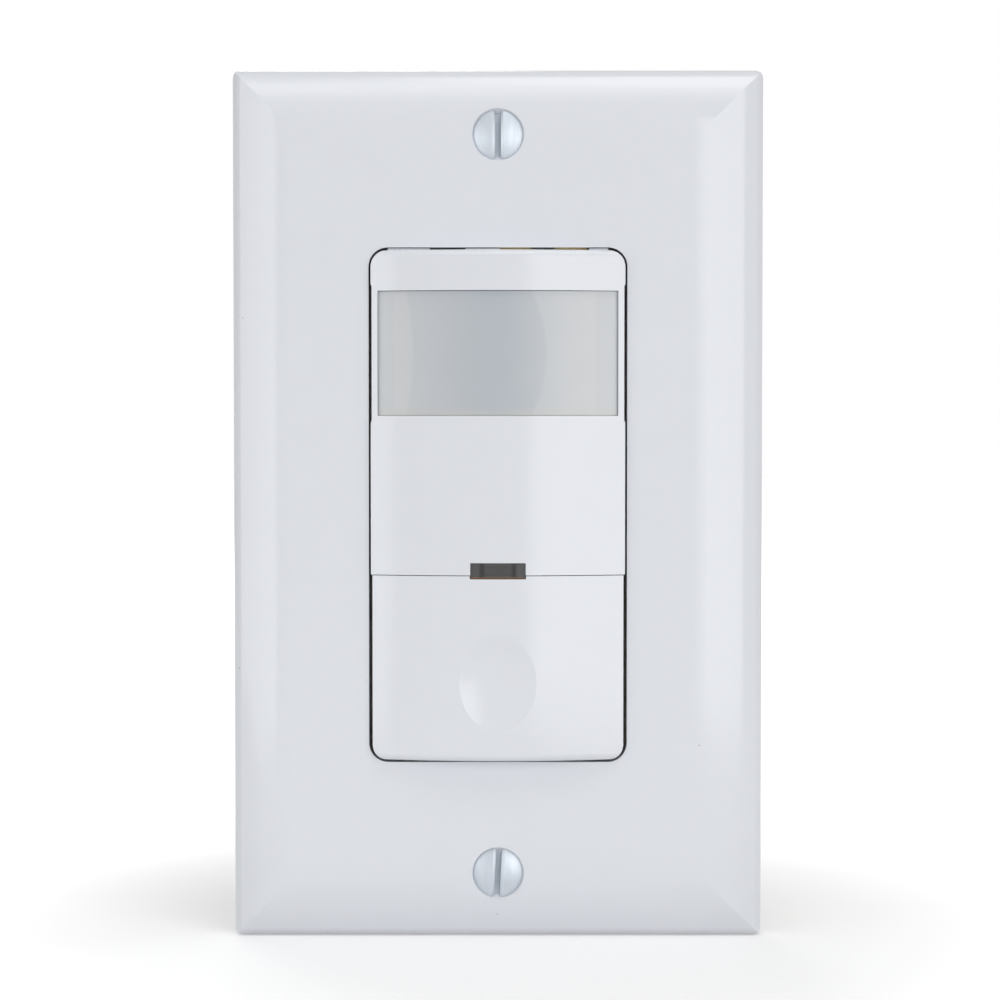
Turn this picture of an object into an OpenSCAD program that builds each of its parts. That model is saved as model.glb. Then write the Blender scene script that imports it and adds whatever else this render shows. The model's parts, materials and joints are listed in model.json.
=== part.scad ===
// Motion sensor light switch for a one-gang wall box, with its wall plate.
// X is to the right, Y goes into the wall and Z is up. The wall plane is y = 0 and the front faces -Y.

/* [Wall plate] */
// Width of the wall plate
plate_w = 69.85; // [66:0.05:80]
// Height of the wall plate
plate_h = 114.3; // [112:0.1:130]
// Thickness of the plate's front skin
plate_skin = 2.2; // [1.8:0.1:3]
// Thickness of the plate's side walls
plate_rim = 2.4; // [1.4:0.1:3]
// Width of the curved border round the flat front
border_w = 7.6; // [6:0.1:8.5]
// Radius of the border's gentle curve
border_r = 12; // [9:0.5:16]
// Radius of the border's outer edge
border_edge_r = 2.4; // [1:0.1:3]
// Radius of the plate's four corners
plate_corner_r = 1.4; // [0.6:0.1:2]
// Width of the opening for the switch
opening_w = 33.8; // [33.4:0.1:34.6]
// Radius of the opening's corners
opening_r = 2.5; // [1.6:0.1:3.2]
// Thickness of the collar behind the opening
collar_w = 1.5; // [1:0.1:2]
// Thickness of the ribs behind the plate
rib_t = 1.2; // [0.8:0.1:2]
// Height of the ribs behind the plate
rib_h = 1.1; // [0.6:0.1:1.6]
// Distance between an upper and a lower rib
rib_pitch = 34; // [20:1:50]

/* [Plate screws] */
// Distance from a plate screw to the end of the strap
screw_edge = 4.6; // [4:0.1:6]
// Radius of the thread of the plate, box, earth and terminal screws
screw_r = 1.75; // [1.6:0.05:1.85]
// Radius of a plate screw's oval head
oval_head_r = 3.3; // [3:0.05:3.6]
// Height of the oval head's dome
oval_rise = 0.75; // [0.5:0.05:1]
// Width of the oval head's slot
oval_slot_w = 1.25; // [0.9:0.05:1.5]
// Depth of the oval head's slot
oval_slot_d = 1.15; // [0.8:0.05:1.4]
// Length of a plate screw under its head's rim
plate_screw_l = 12.5; // [10:0.5:16]
// Half angle of the countersunk heads
sink_angle = 41; // [40:1:46]
// Depth of the straight lip round a countersunk head
sink_lip = 0.25; // [0:0.05:0.4]

/* [Switch face] */
// Gap between the face and the opening at each side
face_gap_x = 0.3; // [0.15:0.05:0.5]
// Gap between the face and the opening at top and bottom
face_gap_z = 0.4; // [0.35:0.05:0.6]
// Radius of the face's outline corners
face_corner_r = 2.2; // [2.1:0.1:3]
// How far the crown of the face stands out of the plate
face_stand = 3.1; // [2.8:0.1:4]
// Radius of the crowned face
face_r = 60; // [55:1:90]
// Thickness of the face's skin
face_skin = 1.6; // [1.2:0.1:1.8]
// Thickness of the face's side walls
face_wall = 1.3; // [1:0.1:1.6]
// Rounding of the face's top and bottom edges
face_edge_r = 0.9; // [0.4:0.1:1.1]
// Height of the band above the lens
top_band_h = 5.3; // [4.5:0.1:6]
// How far the side rails beside the lens step in
rail_step = 0.13; // [0.05:0.01:0.25]
// Height of the rail step above and below the lens
rail_step_z = 0.75; // [0.5:0.05:1.2]
// Width of the left one of the ribs that centre the face's top in the opening
left_rib_w = 5.5; // [3:0.5:7]
// Width of the middle rib
middle_rib_w = 4.5; // [2:0.5:6]
// Width of the right rib
right_rib_w = 2.5; // [1:0.5:4]
// How far the ribs lie behind the plate's front
top_rib_in = 0.5; // [0.2:0.1:1.5]

/* [Lens] */
// Width of the rails beside the lens
rail_w = 0.925; // [0.8:0.025:2]
// Height of the lens window
lens_h = 16.25; // [14:0.05:17]
// How far the lens lies behind the face
lens_recess = 0.5; // [0.3:0.05:0.8]
// Thickness of the lens at its rim
lens_t = 1.9; // [1.7:0.1:2.4]
// Thickness left under each lens facet
lens_web = 0.7; // [0.5:0.05:1]
// Radius of a lens facet
facet_r = 9; // [7:0.5:14]
// Width of the bars between lens facets
facet_bar = 0.3; // [0.2:0.05:0.5]
// Columns of lens facets
lens_columns = 7; // [3:1:9]
// Rows of lens facets
lens_rows = 3; // [1:1:4]
// Height of the lens flange above and below the window
lens_flange = 1.2; // [0.8:0.1:1.6]

/* [Push button] */
// Height of the push button
button_h = 24.2; // [23.5:0.05:25]
// How far the button's sides lie inside the face
button_inset = 0.2; // [0.1:0.05:0.4]
// Gap between the cover and the button
part_gap = 0.1; // [0.1:0.05:0.3]
// Height of the thumb dish
dish_h = 12.4; // [9:0.1:13]
// Radius of the thumb dish
dish_r = 30.4; // [24:0.2:45]
// Radius of the button's hinge pin
pin_r = 0.75; // [0.6:0.05:0.8]
// Width of a hinge ear and of a hinge post
ear_w = 2; // [1.5:0.1:2.2]
// Wall of a hinge ear round the pin
ear_wall = 0.5; // [0.4:0.05:0.6]
// Distance from the button's top edge to its hinge
hinge_drop = 2.1; // [1.7:0.05:2.3]
// Radius of the post that presses the switch
press_post_r = 1.6; // [1.2:0.1:1.8]

/* [Indicator] */
// Width of the indicator window
window_w = 7.1; // [6.6:0.05:8]
// Height of the indicator window
window_h = 1.95; // [1.8:0.05:2.4]
// How far the window reaches below the cover's edge
window_drop = 0.4; // [0.3:0.05:0.6]
// How far the window lies behind the face
window_recess = 0.3; // [0.2:0.05:0.5]
// Thickness of the window's front
window_t = 1.2; // [0.8:0.1:1.6]
// Wall above and below the hollow in the window's back
window_wall = 0.4; // [0.4:0.05:0.6]
// Width of the hollow in the window's back
window_cup_w = 4.4; // [3:0.1:6]
// Depth of the dip in the window's front, before the hollow
window_dip = 0.35; // [0.2:0.05:0.6]
// Radius of the indicator lamp and of the light sensor
lamp_r = 1.5; // [1.2:0.1:1.6]
// Length of a lamp's straight body
lamp_l = 4; // [3:0.1:5]

/* [Setting dials] */
// Distance between neighbouring dials
dial_pitch = 9.5; // [8.5:0.1:10]
// Radius of a dial
dial_r = 2.8; // [2.2:0.1:2.9]
// Thickness of a dial
dial_t = 2; // [1.6:0.1:2.4]
// Width of a dial's screwdriver slot
dial_slot_w = 0.8; // [0.6:0.1:1]
// Depth of a dial's screwdriver slot
dial_slot_d = 0.9; // [0.6:0.1:1.2]
// Radius of a dial's stem
stem_r = 1.5; // [1:0.1:1.8]
// Width of a trimmer's body
trimmer_w = 5.6; // [5:0.1:6.2]
// Height of a trimmer's body
trimmer_d = 3.6; // [3:0.1:4]

/* [Tactile switch] */
// Width of the switch body
tact_w = 6; // [5:0.1:6.4]
// Height of the switch body
tact_d = 3.6; // [3:0.1:4]
// Radius of the plunger
plunger_r = 1.75; // [1.4:0.05:2]
// Travel of the plunger
plunger_travel = 0.5; // [0.3:0.05:0.8]

/* [Mounting strap] */
// Distance from the strap's end to the edge of the plate
strap_margin = 4.15; // [3.5:0.05:8]
// Thickness of the strap
strap_t = 1.4; // [1:0.1:1.6]
// How far the strap reaches past the housing
strap_side = 0.5; // [0.2:0.1:2]
// Width of the strap's end tabs
strap_tab_w = 27; // [25:0.5:28]
// Radius of the strap's break-off ears
strap_ear_r = 4.6; // [4:0.1:5]
// Radius of the hole in a break-off ear
strap_ear_hole_r = 2; // [1.8:0.1:2.4]
// Width of the lip that locates the frame in the strap
strap_lip_w = 11.5; // [8:0.5:14]
// Distance from the middle of the strap to the middle of its lip
strap_lip_x = 6; // [4:0.5:8]
// Width of the notch in the lip
strap_notch_w = 3; // [1:0.5:5]
// Distance from a plate screw to the wall-box screw beside it
screw_step = 6.75; // [6.4:0.05:8]
// Length of a wall-box screw under its head
box_screw_l = 19; // [16:0.5:25]
// Radius of a wall-box screw's head
box_head_r = 3.5; // [3:0.1:3.7]
// Height of a wall-box screw's head
box_head_h = 1.8; // [1.4:0.1:2.2]
// Radius of a wall-box screw's neck, which its retaining washer sits on
box_neck_r = 1.45; // [1.3:0.05:1.55]
// Length of the slot for a wall-box screw
box_slot_l = 7.2; // [6:0.1:9]
// Gap between a retaining washer and the plate screw beside it
washer_gap = 0.25; // [0.2:0.05:1]
// Thickness of a retaining washer
washer_t = 0.8; // [0.5:0.1:1.2]
// Depth of the earth tab behind the wall
earth_tab_d = 11; // [10:0.5:14]
// Width of the earth tab
earth_tab_w = 10; // [9:0.5:12]
// Radius of the earth screw's hexagon head
earth_head_r = 4.1; // [3.6:0.1:4.4]
// Height of the earth screw's head
earth_head_h = 2.4; // [2:0.1:3]

/* [Housing] */
// How far the housing reaches past the opening at each side
housing_over_x = 5.35; // [5:0.05:8]
// How far the housing reaches past the opening at top and bottom
housing_over_z = 1.3; // [1:0.05:2]
// Distance from the housing to the middle of a wall-box screw
housing_clear = 6.65; // [6:0.05:8]
// Thickness of the housing's walls
housing_wall = 2; // [1.6:0.1:2.2]
// Radius of the housing's corners
housing_r = 1.5; // [1:0.1:2]
// Bevel of the housing's back edges
housing_bevel = 0.6; // [0.2:0.1:0.7]
// Distance from the housing's sides to the sunken field in its back
field_margin = 8; // [7:0.5:12]
// Depth of that field
field_d = 0.4; // [0.2:0.1:0.8]
// Thickness of the frame's flange
flange_t = 2.2; // [1.8:0.1:2.6]
// Radius of the housing screws
case_screw_r = 1.25; // [1:0.05:1.4]
// Radius of a housing screw's head
case_head_r = 2.2; // [1.8:0.1:2.3]
// Height of a housing screw's head
case_head_h = 1.6; // [1.2:0.1:2]
// Length of a housing screw
case_screw_l = 14.4; // [13:0.1:18]

/* [Terminals] */
// Depth of the terminal pockets
pocket_d = 4.6; // [4.4:0.1:5]
// Width of the terminal pockets, up and down and front to back
pocket_w = 11.2; // [10:0.1:12]
// Wall round a terminal pocket
pocket_wall = 1.6; // [1.2:0.1:1.8]
// Thickness of a terminal plate
terminal_t = 1; // [0.8:0.1:1.2]
// Thickness of a terminal clamp
clamp_t = 1; // [0.8:0.1:1.2]
// Radius of a terminal screw's head
terminal_head_r = 3.8; // [3.2:0.1:4]
// Height of a terminal screw's head
terminal_head_h = 1.9; // [1.5:0.1:2.1]
// Distance of the terminals above and below the middle
terminal_up = 10; // [9:0.5:13]

/* [Circuit boards] */
// Thickness of the circuit boards
board_t = 1.6; // [1.2:0.1:1.8]
// Distance from the frame's flange to the control board
standoff_h = 5.8; // [5.6:0.1:6.6]
// Radius of the control board's screws
board_screw_r = 0.95; // [0.8:0.05:1.1]
// Radius of the motion sensor's rim
pir_r = 4.6; // [4:0.1:4.8]
// Height of the motion sensor's can
pir_d = 4.2; // [3.6:0.1:4.4]
// Thickness of the spacer under the motion sensor
pir_spacer_t = 0.6; // [0.4:0.1:0.8]
// Number of pins that link the boards
link_count = 5; // [3:1:7]
// Distance between two link pins
link_pitch = 2.54; // [2:0.01:2.54]

/* [Relay] */
// Width of the relay
relay_w = 12.6; // [12:0.1:13]
// Height of the relay
relay_h = 20; // [19.5:0.1:20.5]
// Depth of the relay
relay_d = 15.6; // [14:0.1:18]
// Gap between the relay and the control board
relay_gap = 1.8; // [1.6:0.1:6]
// Wall of the relay's case
relay_wall = 0.8; // [0.6:0.1:1]
// Thickness of the relay's base
relay_base_t = 1.8; // [1.4:0.1:2.2]
// Radius of the coil's winding
coil_r = 3.5; // [3:0.1:3.8]
// Radius of the coil's spool
spool_r = 4.2; // [4:0.1:4.3]
// Radius of the coil's core
core_r = 1.5; // [1.2:0.1:1.7]
// Thickness of the armature
armature_t = 1; // [0.8:0.1:1.2]
// Gap between the armature and the core
armature_gap = 0.5; // [0.48:0.02:0.7]
// Gap between the contacts
contact_gap = 0.95; // [0.92:0.01:1.2]
// Radius of the contacts
contact_r = 1.2; // [1:0.1:1.4]

/* [Power parts] */
// Width of the film capacitor
film_w = 7.6; // [6:0.1:8.4]
// Height of the film capacitor
film_h = 18; // [15:0.1:19]
// Depth of the film capacitor
film_d = 13.5; // [11:0.1:14.5]
// Radius of the smoothing capacitor
smoothing_r = 4; // [3:0.1:4.3]
// Depth of the smoothing capacitor
smoothing_d = 12.5; // [10:0.1:14.5]
// Radius of the varistor's disc
varistor_r = 4.6; // [3.5:0.1:5]
// Thickness of the varistor's disc
varistor_t = 4; // [3:0.1:4.4]
// Radius of the fuse
fuse_r = 2.4; // [1.8:0.1:2.6]
// Length of the fuse
fuse_l = 12; // [9:0.1:12.6]
// Radius of the choke's rims
choke_r = 4; // [3.2:0.1:4.4]
// Radius of the choke's core
choke_core_r = 2; // [1.5:0.1:2.2]
// Depth of the choke
choke_d = 9; // [7:0.1:11]
// Thickness of the choke's rims
choke_rim_t = 1.2; // [0.8:0.1:1.6]
// Width of the bridge rectifier's body
rectifier_w = 6.4; // [5:0.1:6.6]
// Height of the bridge rectifier's body
rectifier_h = 8; // [6:0.1:8.4]
// Thickness of the bridge rectifier's body
rectifier_t = 3; // [2.4:0.1:4]

/* [Clearances] */
// Running clearance of a pin, stem or plunger, on its radius
run = 0.05; // [0.02:0.01:0.08]
// Clearance of a piece in its window or seat
loose = 0.1; // [0.05:0.01:0.15]
// Room left beside moving pieces
room = 0.3; // [0.25:0.05:0.4]
// Room over the heads of the wall-box screws
head_room = 0.4; // [0.2:0.05:0.8]
// Play between the press post and the plunger
press_play = 0.1; // [0.08:0.01:0.2]

/* [Hidden] */
$fn = 64;

// How far a cut runs past a surface, and how far joined shapes run into each other
cut = 1;
sink = 0.1;
// Segments of a large, shallow curve
fine = 180;
// Shares of a screw's head and shank that its dome and its tip take
dome_share = 0.35;
tip_share = 0.4;

// The chain of heights from the plate to the opening, and the housing round the opening
strap_h = plate_h - 2 * strap_margin;
plate_screw_pitch = strap_h - 2 * screw_edge;
box_screw_pitch = plate_screw_pitch - 2 * screw_step;
housing_h = box_screw_pitch - 2 * housing_clear;
opening_h = housing_h - 2 * housing_over_z;
housing_w = opening_w + 2 * housing_over_x;
washer_w = 2 * (screw_step - screw_r - washer_gap);

// Heights in front of the wall, as y values
plate_d = strap_t + box_head_h + head_room + plate_skin;
plate_front = -plate_d;
plate_under = plate_front + plate_skin;
neck_rise = 0.8;
neck_front = -(strap_t + neck_rise);
face_front = plate_front - face_stand;
face_axis = face_front + face_r;

// Extents of the face, from the plate's opening
face_w = opening_w - 2 * face_gap_x;
face_h = opening_h - 2 * face_gap_z;
face_top = face_h / 2;
face_bottom = -face_h / 2;
face_depth = 14;
lens_w = face_w - 2 * rail_w;
lens_top = face_top - top_band_h;
lens_bottom = lens_top - lens_h;
lens_mid = (lens_top + lens_bottom) / 2;
button_w = face_w - 2 * button_inset;
button_top = face_bottom + button_h;
cover_bottom = button_top + part_gap;

// The y value of the skin's back at x
function skin_under(x) = face_axis - sqrt(pow(face_r - face_skin, 2) - x * x);

// Depths behind the wall
board_front = flange_t + standoff_h;
board_back = board_front + board_t;
power_front = board_back + relay_gap + relay_d;
power_back = power_front + board_t;
power_standoff = 1.1;
housing_back = power_back + power_standoff + housing_wall;

// Inside of the housing, its corner columns and the boards that fit between them
inner_x = housing_w / 2 - housing_wall;
inner_z = housing_h / 2 - housing_wall;
column_in = 3;
column_half = 3.4;
column_x = housing_w / 2 - column_in;
column_z = housing_h / 2 - column_in;
case_hole_r = case_screw_r + run;
case_bore_r = case_head_r + loose;
case_bore_floor = case_screw_l - strap_t;
board_gap = 0.4;
board_w = 2 * (inner_x - board_gap);
board_h = 2 * (inner_z - board_gap);
notch_x = board_w / 2 - (column_x - column_half) + board_gap;
notch_z = board_h / 2 - (column_z - column_half) + board_gap;

// The neck that carries the face through the strap
neck_inset = 0.1;
neck_w = face_w - 2 * neck_inset;
neck_h = face_h - 2 * neck_inset;
neck_wall = 2.3;

// The button's hinge: posts of the frame outside, ears of the button inside, one pin through all
post_gap = 0.5;
post_x = button_w / 2 - face_wall - post_gap - ear_w / 2;
ear_x = post_x - ear_w - room;
post_top = skin_under(post_x + ear_w / 2) + room;
slot_lead = 0.55;
hinge_y = post_top + slot_lead + pin_r;
hinge_z = button_top - hinge_drop;
hinge_r = pin_r + run;
ear_r = hinge_r + ear_wall;
pin_half = post_x + ear_w / 2 - loose;

// The dials under the hinge, and the switch and the dish below them
dial_drop = 1.4;
dial_gap = 0.6;
dial_z = hinge_z - ear_r - dial_drop - dial_r;
dish_z = dial_z - trimmer_w / 2 - dial_gap - tact_w / 2;
dish_depth = dish_h * dish_h / (8 * dish_r);
press_tip_in = 1;
press_tip = flange_t - press_tip_in;

// The indicator window and the lamps behind it
window_bottom = cover_bottom - window_drop;
window_top = window_bottom + window_h;
window_z = (window_bottom + window_top) / 2;
window_flange = 1;
lamp_gap = 0.5;
lamp_pitch = 2 * lamp_r + lamp_gap;
lamp_wall = 0.6;
holder_front = hinge_y + pin_r + lamp_gap;
holder_w = lamp_pitch + 2 * (lamp_r + lamp_wall);
holder_h = 2 * (lamp_r + lamp_wall);
window_back = holder_front - lamp_r - lamp_gap;
lead_r = 0.25;
lead_hole_r = lead_r + run;
lead_pitch = 1.27;
lead_tail = 1.2;

// Terminals: the side of the housing and the height of each
live_terminals = [[1, terminal_up], [1, -terminal_up]];
neutral_terminals = [[-1, terminal_up]];
terminals = concat(live_terminals, neutral_terminals);
pocket_floor = housing_w / 2 - pocket_d;
pocket_gap = 0.5;
terminal_y = power_front - pocket_gap - pocket_wall - pocket_w / 2;
terminal_leg_w = 4;

// Shapes that repeat

// Extrudes an outline drawn in X and Z from y0 to y1
module along_y(y0, y1) {
    translate([0, y1, 0]) rotate([90, 0, 0]) linear_extrude(y1 - y0) children();
}

// Extrudes an outline drawn in X and Y from z0 to z1
module along_z(z0, z1) {
    translate([0, 0, z0]) linear_extrude(z1 - z0) children();
}

// Turns a profile of radius and length about an axis along +Y
module turned_y() {
    rotate([-90, 0, 0]) rotate_extrude() children();
}

// A rectangle with round corners, centred
module rounded_rect(w, h, r) {
    square([w - 2 * r, h], center = true);
    square([w, h - 2 * r], center = true);
    for (x = [-1, 1], z = [-1, 1]) translate([x * (w / 2 - r), z * (h / 2 - r)]) circle(r);
}

// A level slot with round ends, centred
module level_slot(length, r) {
    square([length - 2 * r, 2 * r], center = true);
    for (x = [-1, 1]) translate([x * (length / 2 - r), 0]) circle(r);
}

// A cylinder along Y at x and z
module rod_y(x, z, r, y0, y1) {
    translate([x, y0, z]) rotate([-90, 0, 0]) cylinder(h = y1 - y0, r = r);
}

// A cylinder along X at y and z
module rod_x(y, z, r, x0, x1) {
    translate([x0, y, z]) rotate([0, 90, 0]) cylinder(h = x1 - x0, r = r);
}

// A box from its limits
module box(x0, x1, y0, y1, z0, z1) {
    translate([x0, y0, z0]) cube([x1 - x0, y1 - y0, z1 - z0]);
}

// A block centred on x and z, from y0 to y1
module block(x, z, w, h, y0, y1) {
    box(x - w / 2, x + w / 2, y0, y1, z - h / 2, z + h / 2);
}

// The same shape on the left or the right side
module on_side(side) {
    mirror([side < 0 ? 1 : 0, 0, 0]) children();
}

// A solid of revolution about the face's axis, from its profile in radius and height
module about_face_axis() {
    sweep = 50;
    translate([0, face_axis, 0]) rotate([0, 0, 270 - sweep / 2])
        rotate_extrude(angle = sweep, $fn = fine) children();
}

// A layer of the crowned face between two radii and two heights
module face_layer(r0, r1, z0, z1) {
    about_face_axis() translate([r0, z0]) square([r1 - r0, z1 - z0]);
}

// The whole depth of the crowned face, with a rounded outer edge at its top or bottom
module face_body(z0, z1, round_top) {
    edge_z = round_top ? z1 - face_edge_r : z0 + face_edge_r;
    about_face_axis() {
        translate([face_r - face_depth, z0]) square([face_depth - face_edge_r, z1 - z0]);
        translate([face_r - face_depth, round_top ? z0 : edge_z])
            square([face_depth, z1 - z0 - face_edge_r]);
        translate([face_r - face_edge_r, edge_z]) circle(face_edge_r);
    }
}

// The hollow behind the face's skin
module under_skin(z0, z1) {
    face_layer(face_r - face_depth - cut, face_r - face_skin, z0, z1);
}

// A pan-headed screw along +Y with the underside of its head at y = 0
module pan_head_screw(head_r, head_h, shank_r, length, slot_w) {
    dome = head_h * dome_share;
    tip = shank_r * tip_share;
    difference() {
        turned_y() polygon([
            [0, -head_h], [head_r - dome, -head_h], [head_r, dome - head_h], [head_r, 0], [shank_r, 0],
            [shank_r, length - tip], [shank_r - tip, length], [0, length]
        ]);
        block(0, 0, slot_w, 2 * head_r + cut, -head_h - cut, -head_h / 2);
    }
}

// Wall plate

border_turn = asin((border_w - border_edge_r) / (border_r - border_edge_r));
border_side = plate_d - border_r + (border_r - border_edge_r) * cos(border_turn);
border_join = border_w - border_r * sin(border_turn);
screw_hole_r = screw_r + run;
plate_hole_r = screw_r + 2 * loose;
sink_margin = 0.15;
sink_r = oval_head_r + sink_margin;
sink_d = (sink_r - plate_hole_r) / tan(sink_angle);
collar_back = -strap_t - room;
boss_r = (plate_screw_pitch - box_screw_pitch) / 2 - box_head_r - room;

// The plate's section over a width, with the wall at y = 0: flat in the middle, and at each side a
// gentle curve that runs into the tighter curve of the outer edge
module plate_section(w) {
    flat = w / 2 - border_w;
    join = w / 2 - border_join;
    translate([-w / 2, 0]) square([w, border_side]);
    for (s = [-1, 1]) intersection() {
        translate([s * (w / 2 - border_edge_r), border_side]) circle(border_edge_r);
        translate([-w / 2, 0]) square([w, plate_d]);
    }
    intersection() {
        translate([-join, 0]) square([2 * join, plate_d]);
        union() {
            translate([-flat, plate_d - border_r]) square([2 * flat, border_r]);
            for (s = [-1, 1]) translate([s * flat, plate_d - border_r]) circle(border_r, $fn = fine);
        }
    }
}

module plate_shell() {
    difference() {
        intersection() {
            mirror([0, 1, 0]) along_z(-plate_h / 2, plate_h / 2) plate_section(plate_w);
            rotate([0, 90, 0]) mirror([0, 1, 0]) along_z(-plate_w / 2, plate_w / 2) plate_section(plate_h);
            along_y(plate_front - cut, cut) rounded_rect(plate_w, plate_h, plate_corner_r);
        }
        along_y(plate_under, cut)
            rounded_rect(plate_w - 2 * plate_rim, plate_h - 2 * plate_rim, plate_corner_r);
    }
}

module plate_ribs() {
    for (s = [-1, 1], z = [-1, 1]) on_side(s)
        box(opening_w / 2 + sink, plate_w / 2 - plate_rim + sink, plate_under - sink, plate_under + rib_h,
            z * rib_pitch / 2 - rib_t / 2, z * rib_pitch / 2 + rib_t / 2);
}

module wall_plate() {
    color("whitesmoke") difference() {
        union() {
            plate_shell();
            plate_ribs();
            along_y(plate_under - sink, collar_back)
                rounded_rect(opening_w + 2 * collar_w, opening_h + 2 * collar_w, opening_r + collar_w);
            for (s = [-1, 1])
                rod_y(0, s * plate_screw_pitch / 2, boss_r, plate_under - sink, collar_back);
        }
        along_y(plate_front - cut, cut) rounded_rect(opening_w, opening_h, opening_r);
        for (s = [-1, 1]) translate([0, plate_front, s * plate_screw_pitch / 2]) turned_y() polygon([
            [0, -cut], [sink_r, -cut], [sink_r, sink_lip], [plate_hole_r, sink_lip + sink_d],
            [plate_hole_r, plate_d + cut], [0, plate_d + cut]
        ]);
    }
}

// An oval-headed screw along +Y with its head's rim at y = 0
module oval_head_screw() {
    dome_r = (oval_head_r * oval_head_r + oval_rise * oval_rise) / (2 * oval_rise);
    neck = (oval_head_r - screw_r) / tan(sink_angle);
    tip = screw_r * tip_share;
    difference() {
        turned_y() {
            polygon([
                [0, 0], [oval_head_r, 0], [screw_r, neck], [screw_r, plate_screw_l - tip],
                [screw_r - tip, plate_screw_l], [0, plate_screw_l]
            ]);
            intersection() {
                translate([0, dome_r - oval_rise]) circle(dome_r, $fn = fine);
                translate([0, -oval_rise - cut]) square([oval_head_r, oval_rise + cut]);
            }
        }
        block(0, 0, oval_slot_w, 2 * oval_head_r + cut, -oval_rise - cut, oval_slot_d - oval_rise);
    }
}

module wall_plate_screws() {
    seat = sink_lip + (sink_r - oval_head_r) / tan(sink_angle) - run;
    slot_lean = 3;
    color("silver") for (s = [-1, 1])
        translate([0, plate_front + seat, s * plate_screw_pitch / 2])
            rotate([0, s < 0 ? slot_lean : 0, 0]) oval_head_screw();
}

// Mounting strap

strap_w = housing_w + 2 * strap_side;
strap_main_h = housing_h + 2 * strap_side;
strap_gap = 0.5;
strap_window_w = neck_w + 2 * strap_gap;
strap_window_h = neck_h + 2 * strap_gap;
strap_lip_gap = 0.15;
strap_corner_r = 2.5;
ear_neck_l = 0.6;
ear_neck_w = 1.1;
ear_neck_pitch = 3.4;
ear_neck_in = 1;
strap_ear_x = strap_tab_w / 2 + ear_neck_l + strap_ear_r;
slot_gap = 0.35;
box_slot_r = screw_r + slot_gap;
earth_x = washer_w / 2 + box_head_r + earth_tab_w / 2;
earth_drop = 3;
earth_z = -(housing_h / 2 + earth_drop);
earth_margin = 1;
earth_y = earth_tab_d - earth_head_r - earth_margin;
earth_tail = 1.4;

// The lip at the top of the strap's window, in two pieces beside its notch
module strap_lip() {
    piece_w = (strap_lip_w - strap_notch_w) / 2;
    for (s = [-1, 1])
        translate([strap_lip_x + s * (strap_lip_w - piece_w) / 2 - piece_w / 2, neck_h / 2 + strap_lip_gap])
            square([piece_w, strap_gap]);
}

module strap_outline() {
    difference() {
        union() {
            rounded_rect(strap_w, strap_main_h, housing_r);
            rounded_rect(strap_tab_w, strap_h, strap_corner_r);
            for (x = [-1, 1], z = [-1, 1]) translate([x * strap_ear_x, z * plate_screw_pitch / 2]) {
                circle(strap_ear_r);
                for (t = [-1, 1])
                    translate([-x * (strap_ear_r - sink), t * ear_neck_pitch / 2])
                        square([2 * (ear_neck_l + ear_neck_in), ear_neck_w], center = true);
            }
        }
        difference() {
            rounded_rect(strap_window_w, strap_window_h, opening_r);
            strap_lip();
        }
        for (z = [-1, 1]) {
            translate([0, z * box_screw_pitch / 2]) level_slot(box_slot_l, box_slot_r);
            translate([0, z * plate_screw_pitch / 2]) circle(screw_hole_r);
            for (x = [-1, 1]) {
                translate([x * strap_ear_x, z * plate_screw_pitch / 2]) circle(strap_ear_hole_r);
                translate([x * column_x, z * column_z]) circle(case_hole_r);
            }
        }
    }
}

module mounting_strap() {
    tab_x0 = earth_x - earth_tab_w / 2;
    tab_x1 = earth_x + earth_tab_w / 2;
    color("goldenrod") difference() {
        union() {
            along_y(-strap_t, 0) strap_outline();
            box(tab_x0, tab_x1, -strap_t, 0, earth_z - strap_t / 2, housing_r - strap_main_h / 2);
            box(tab_x0, tab_x1, -strap_t, earth_tab_d, earth_z - strap_t / 2, earth_z + strap_t / 2);
        }
        translate([earth_x, earth_y, earth_z - strap_t]) cylinder(h = 2 * strap_t, r = screw_hole_r);
    }
}

// The thin neck runs through the strap and the washer, and the thread behind it can't slip back out
module box_screws() {
    neck_l = strap_t + washer_t + room;
    color("silver") for (s = [-1, 1])
        translate([0, -strap_t, s * box_screw_pitch / 2]) rotate([0, 90, 0]) difference() {
            pan_head_screw(box_head_r, box_head_h, screw_r, box_screw_l, oval_slot_w);
            turned_y() translate([box_neck_r, 0]) square([box_head_r, neck_l]);
        }
}

module box_screw_washers() {
    corner = 1;
    color("peru") for (s = [-1, 1]) along_y(0, washer_t) translate([0, s * box_screw_pitch / 2])
        difference() {
            rounded_rect(washer_w, washer_w, corner);
            circle(box_neck_r + run);
        }
}

// The green earth screw: a slotted hexagon head under the strap's tab
module earth_screw() {
    slot_w = 1.2;
    color("forestgreen") translate([earth_x, earth_y, earth_z - strap_t / 2]) {
        difference() {
            translate([0, 0, -earth_head_h]) cylinder(h = earth_head_h, r = earth_head_r, $fn = 6);
            translate([-earth_head_r - cut, -slot_w / 2, -earth_head_h - cut])
                cube([2 * (earth_head_r + cut), slot_w, cut + earth_head_h / 2]);
        }
        translate([0, 0, -sink]) cylinder(h = strap_t + earth_tail + sink, r = screw_r);
    }
}

// Front frame: a flange behind the strap, and a neck that carries the face through it

floor_t = 1.8;
floor_back = neck_front + floor_t;
floor_top = hinge_z + room;
upper_half = neck_w / 2 - neck_wall;
lower_half = ear_x + ear_w / 2 - sink;
lens_room = 1.5;
press_hole_gap = 1;
press_hole_r = press_post_r + press_hole_gap;
boss_in = 3.2;
boss_x = inner_x - boss_in;
board_boss_r = 2.2;

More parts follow.
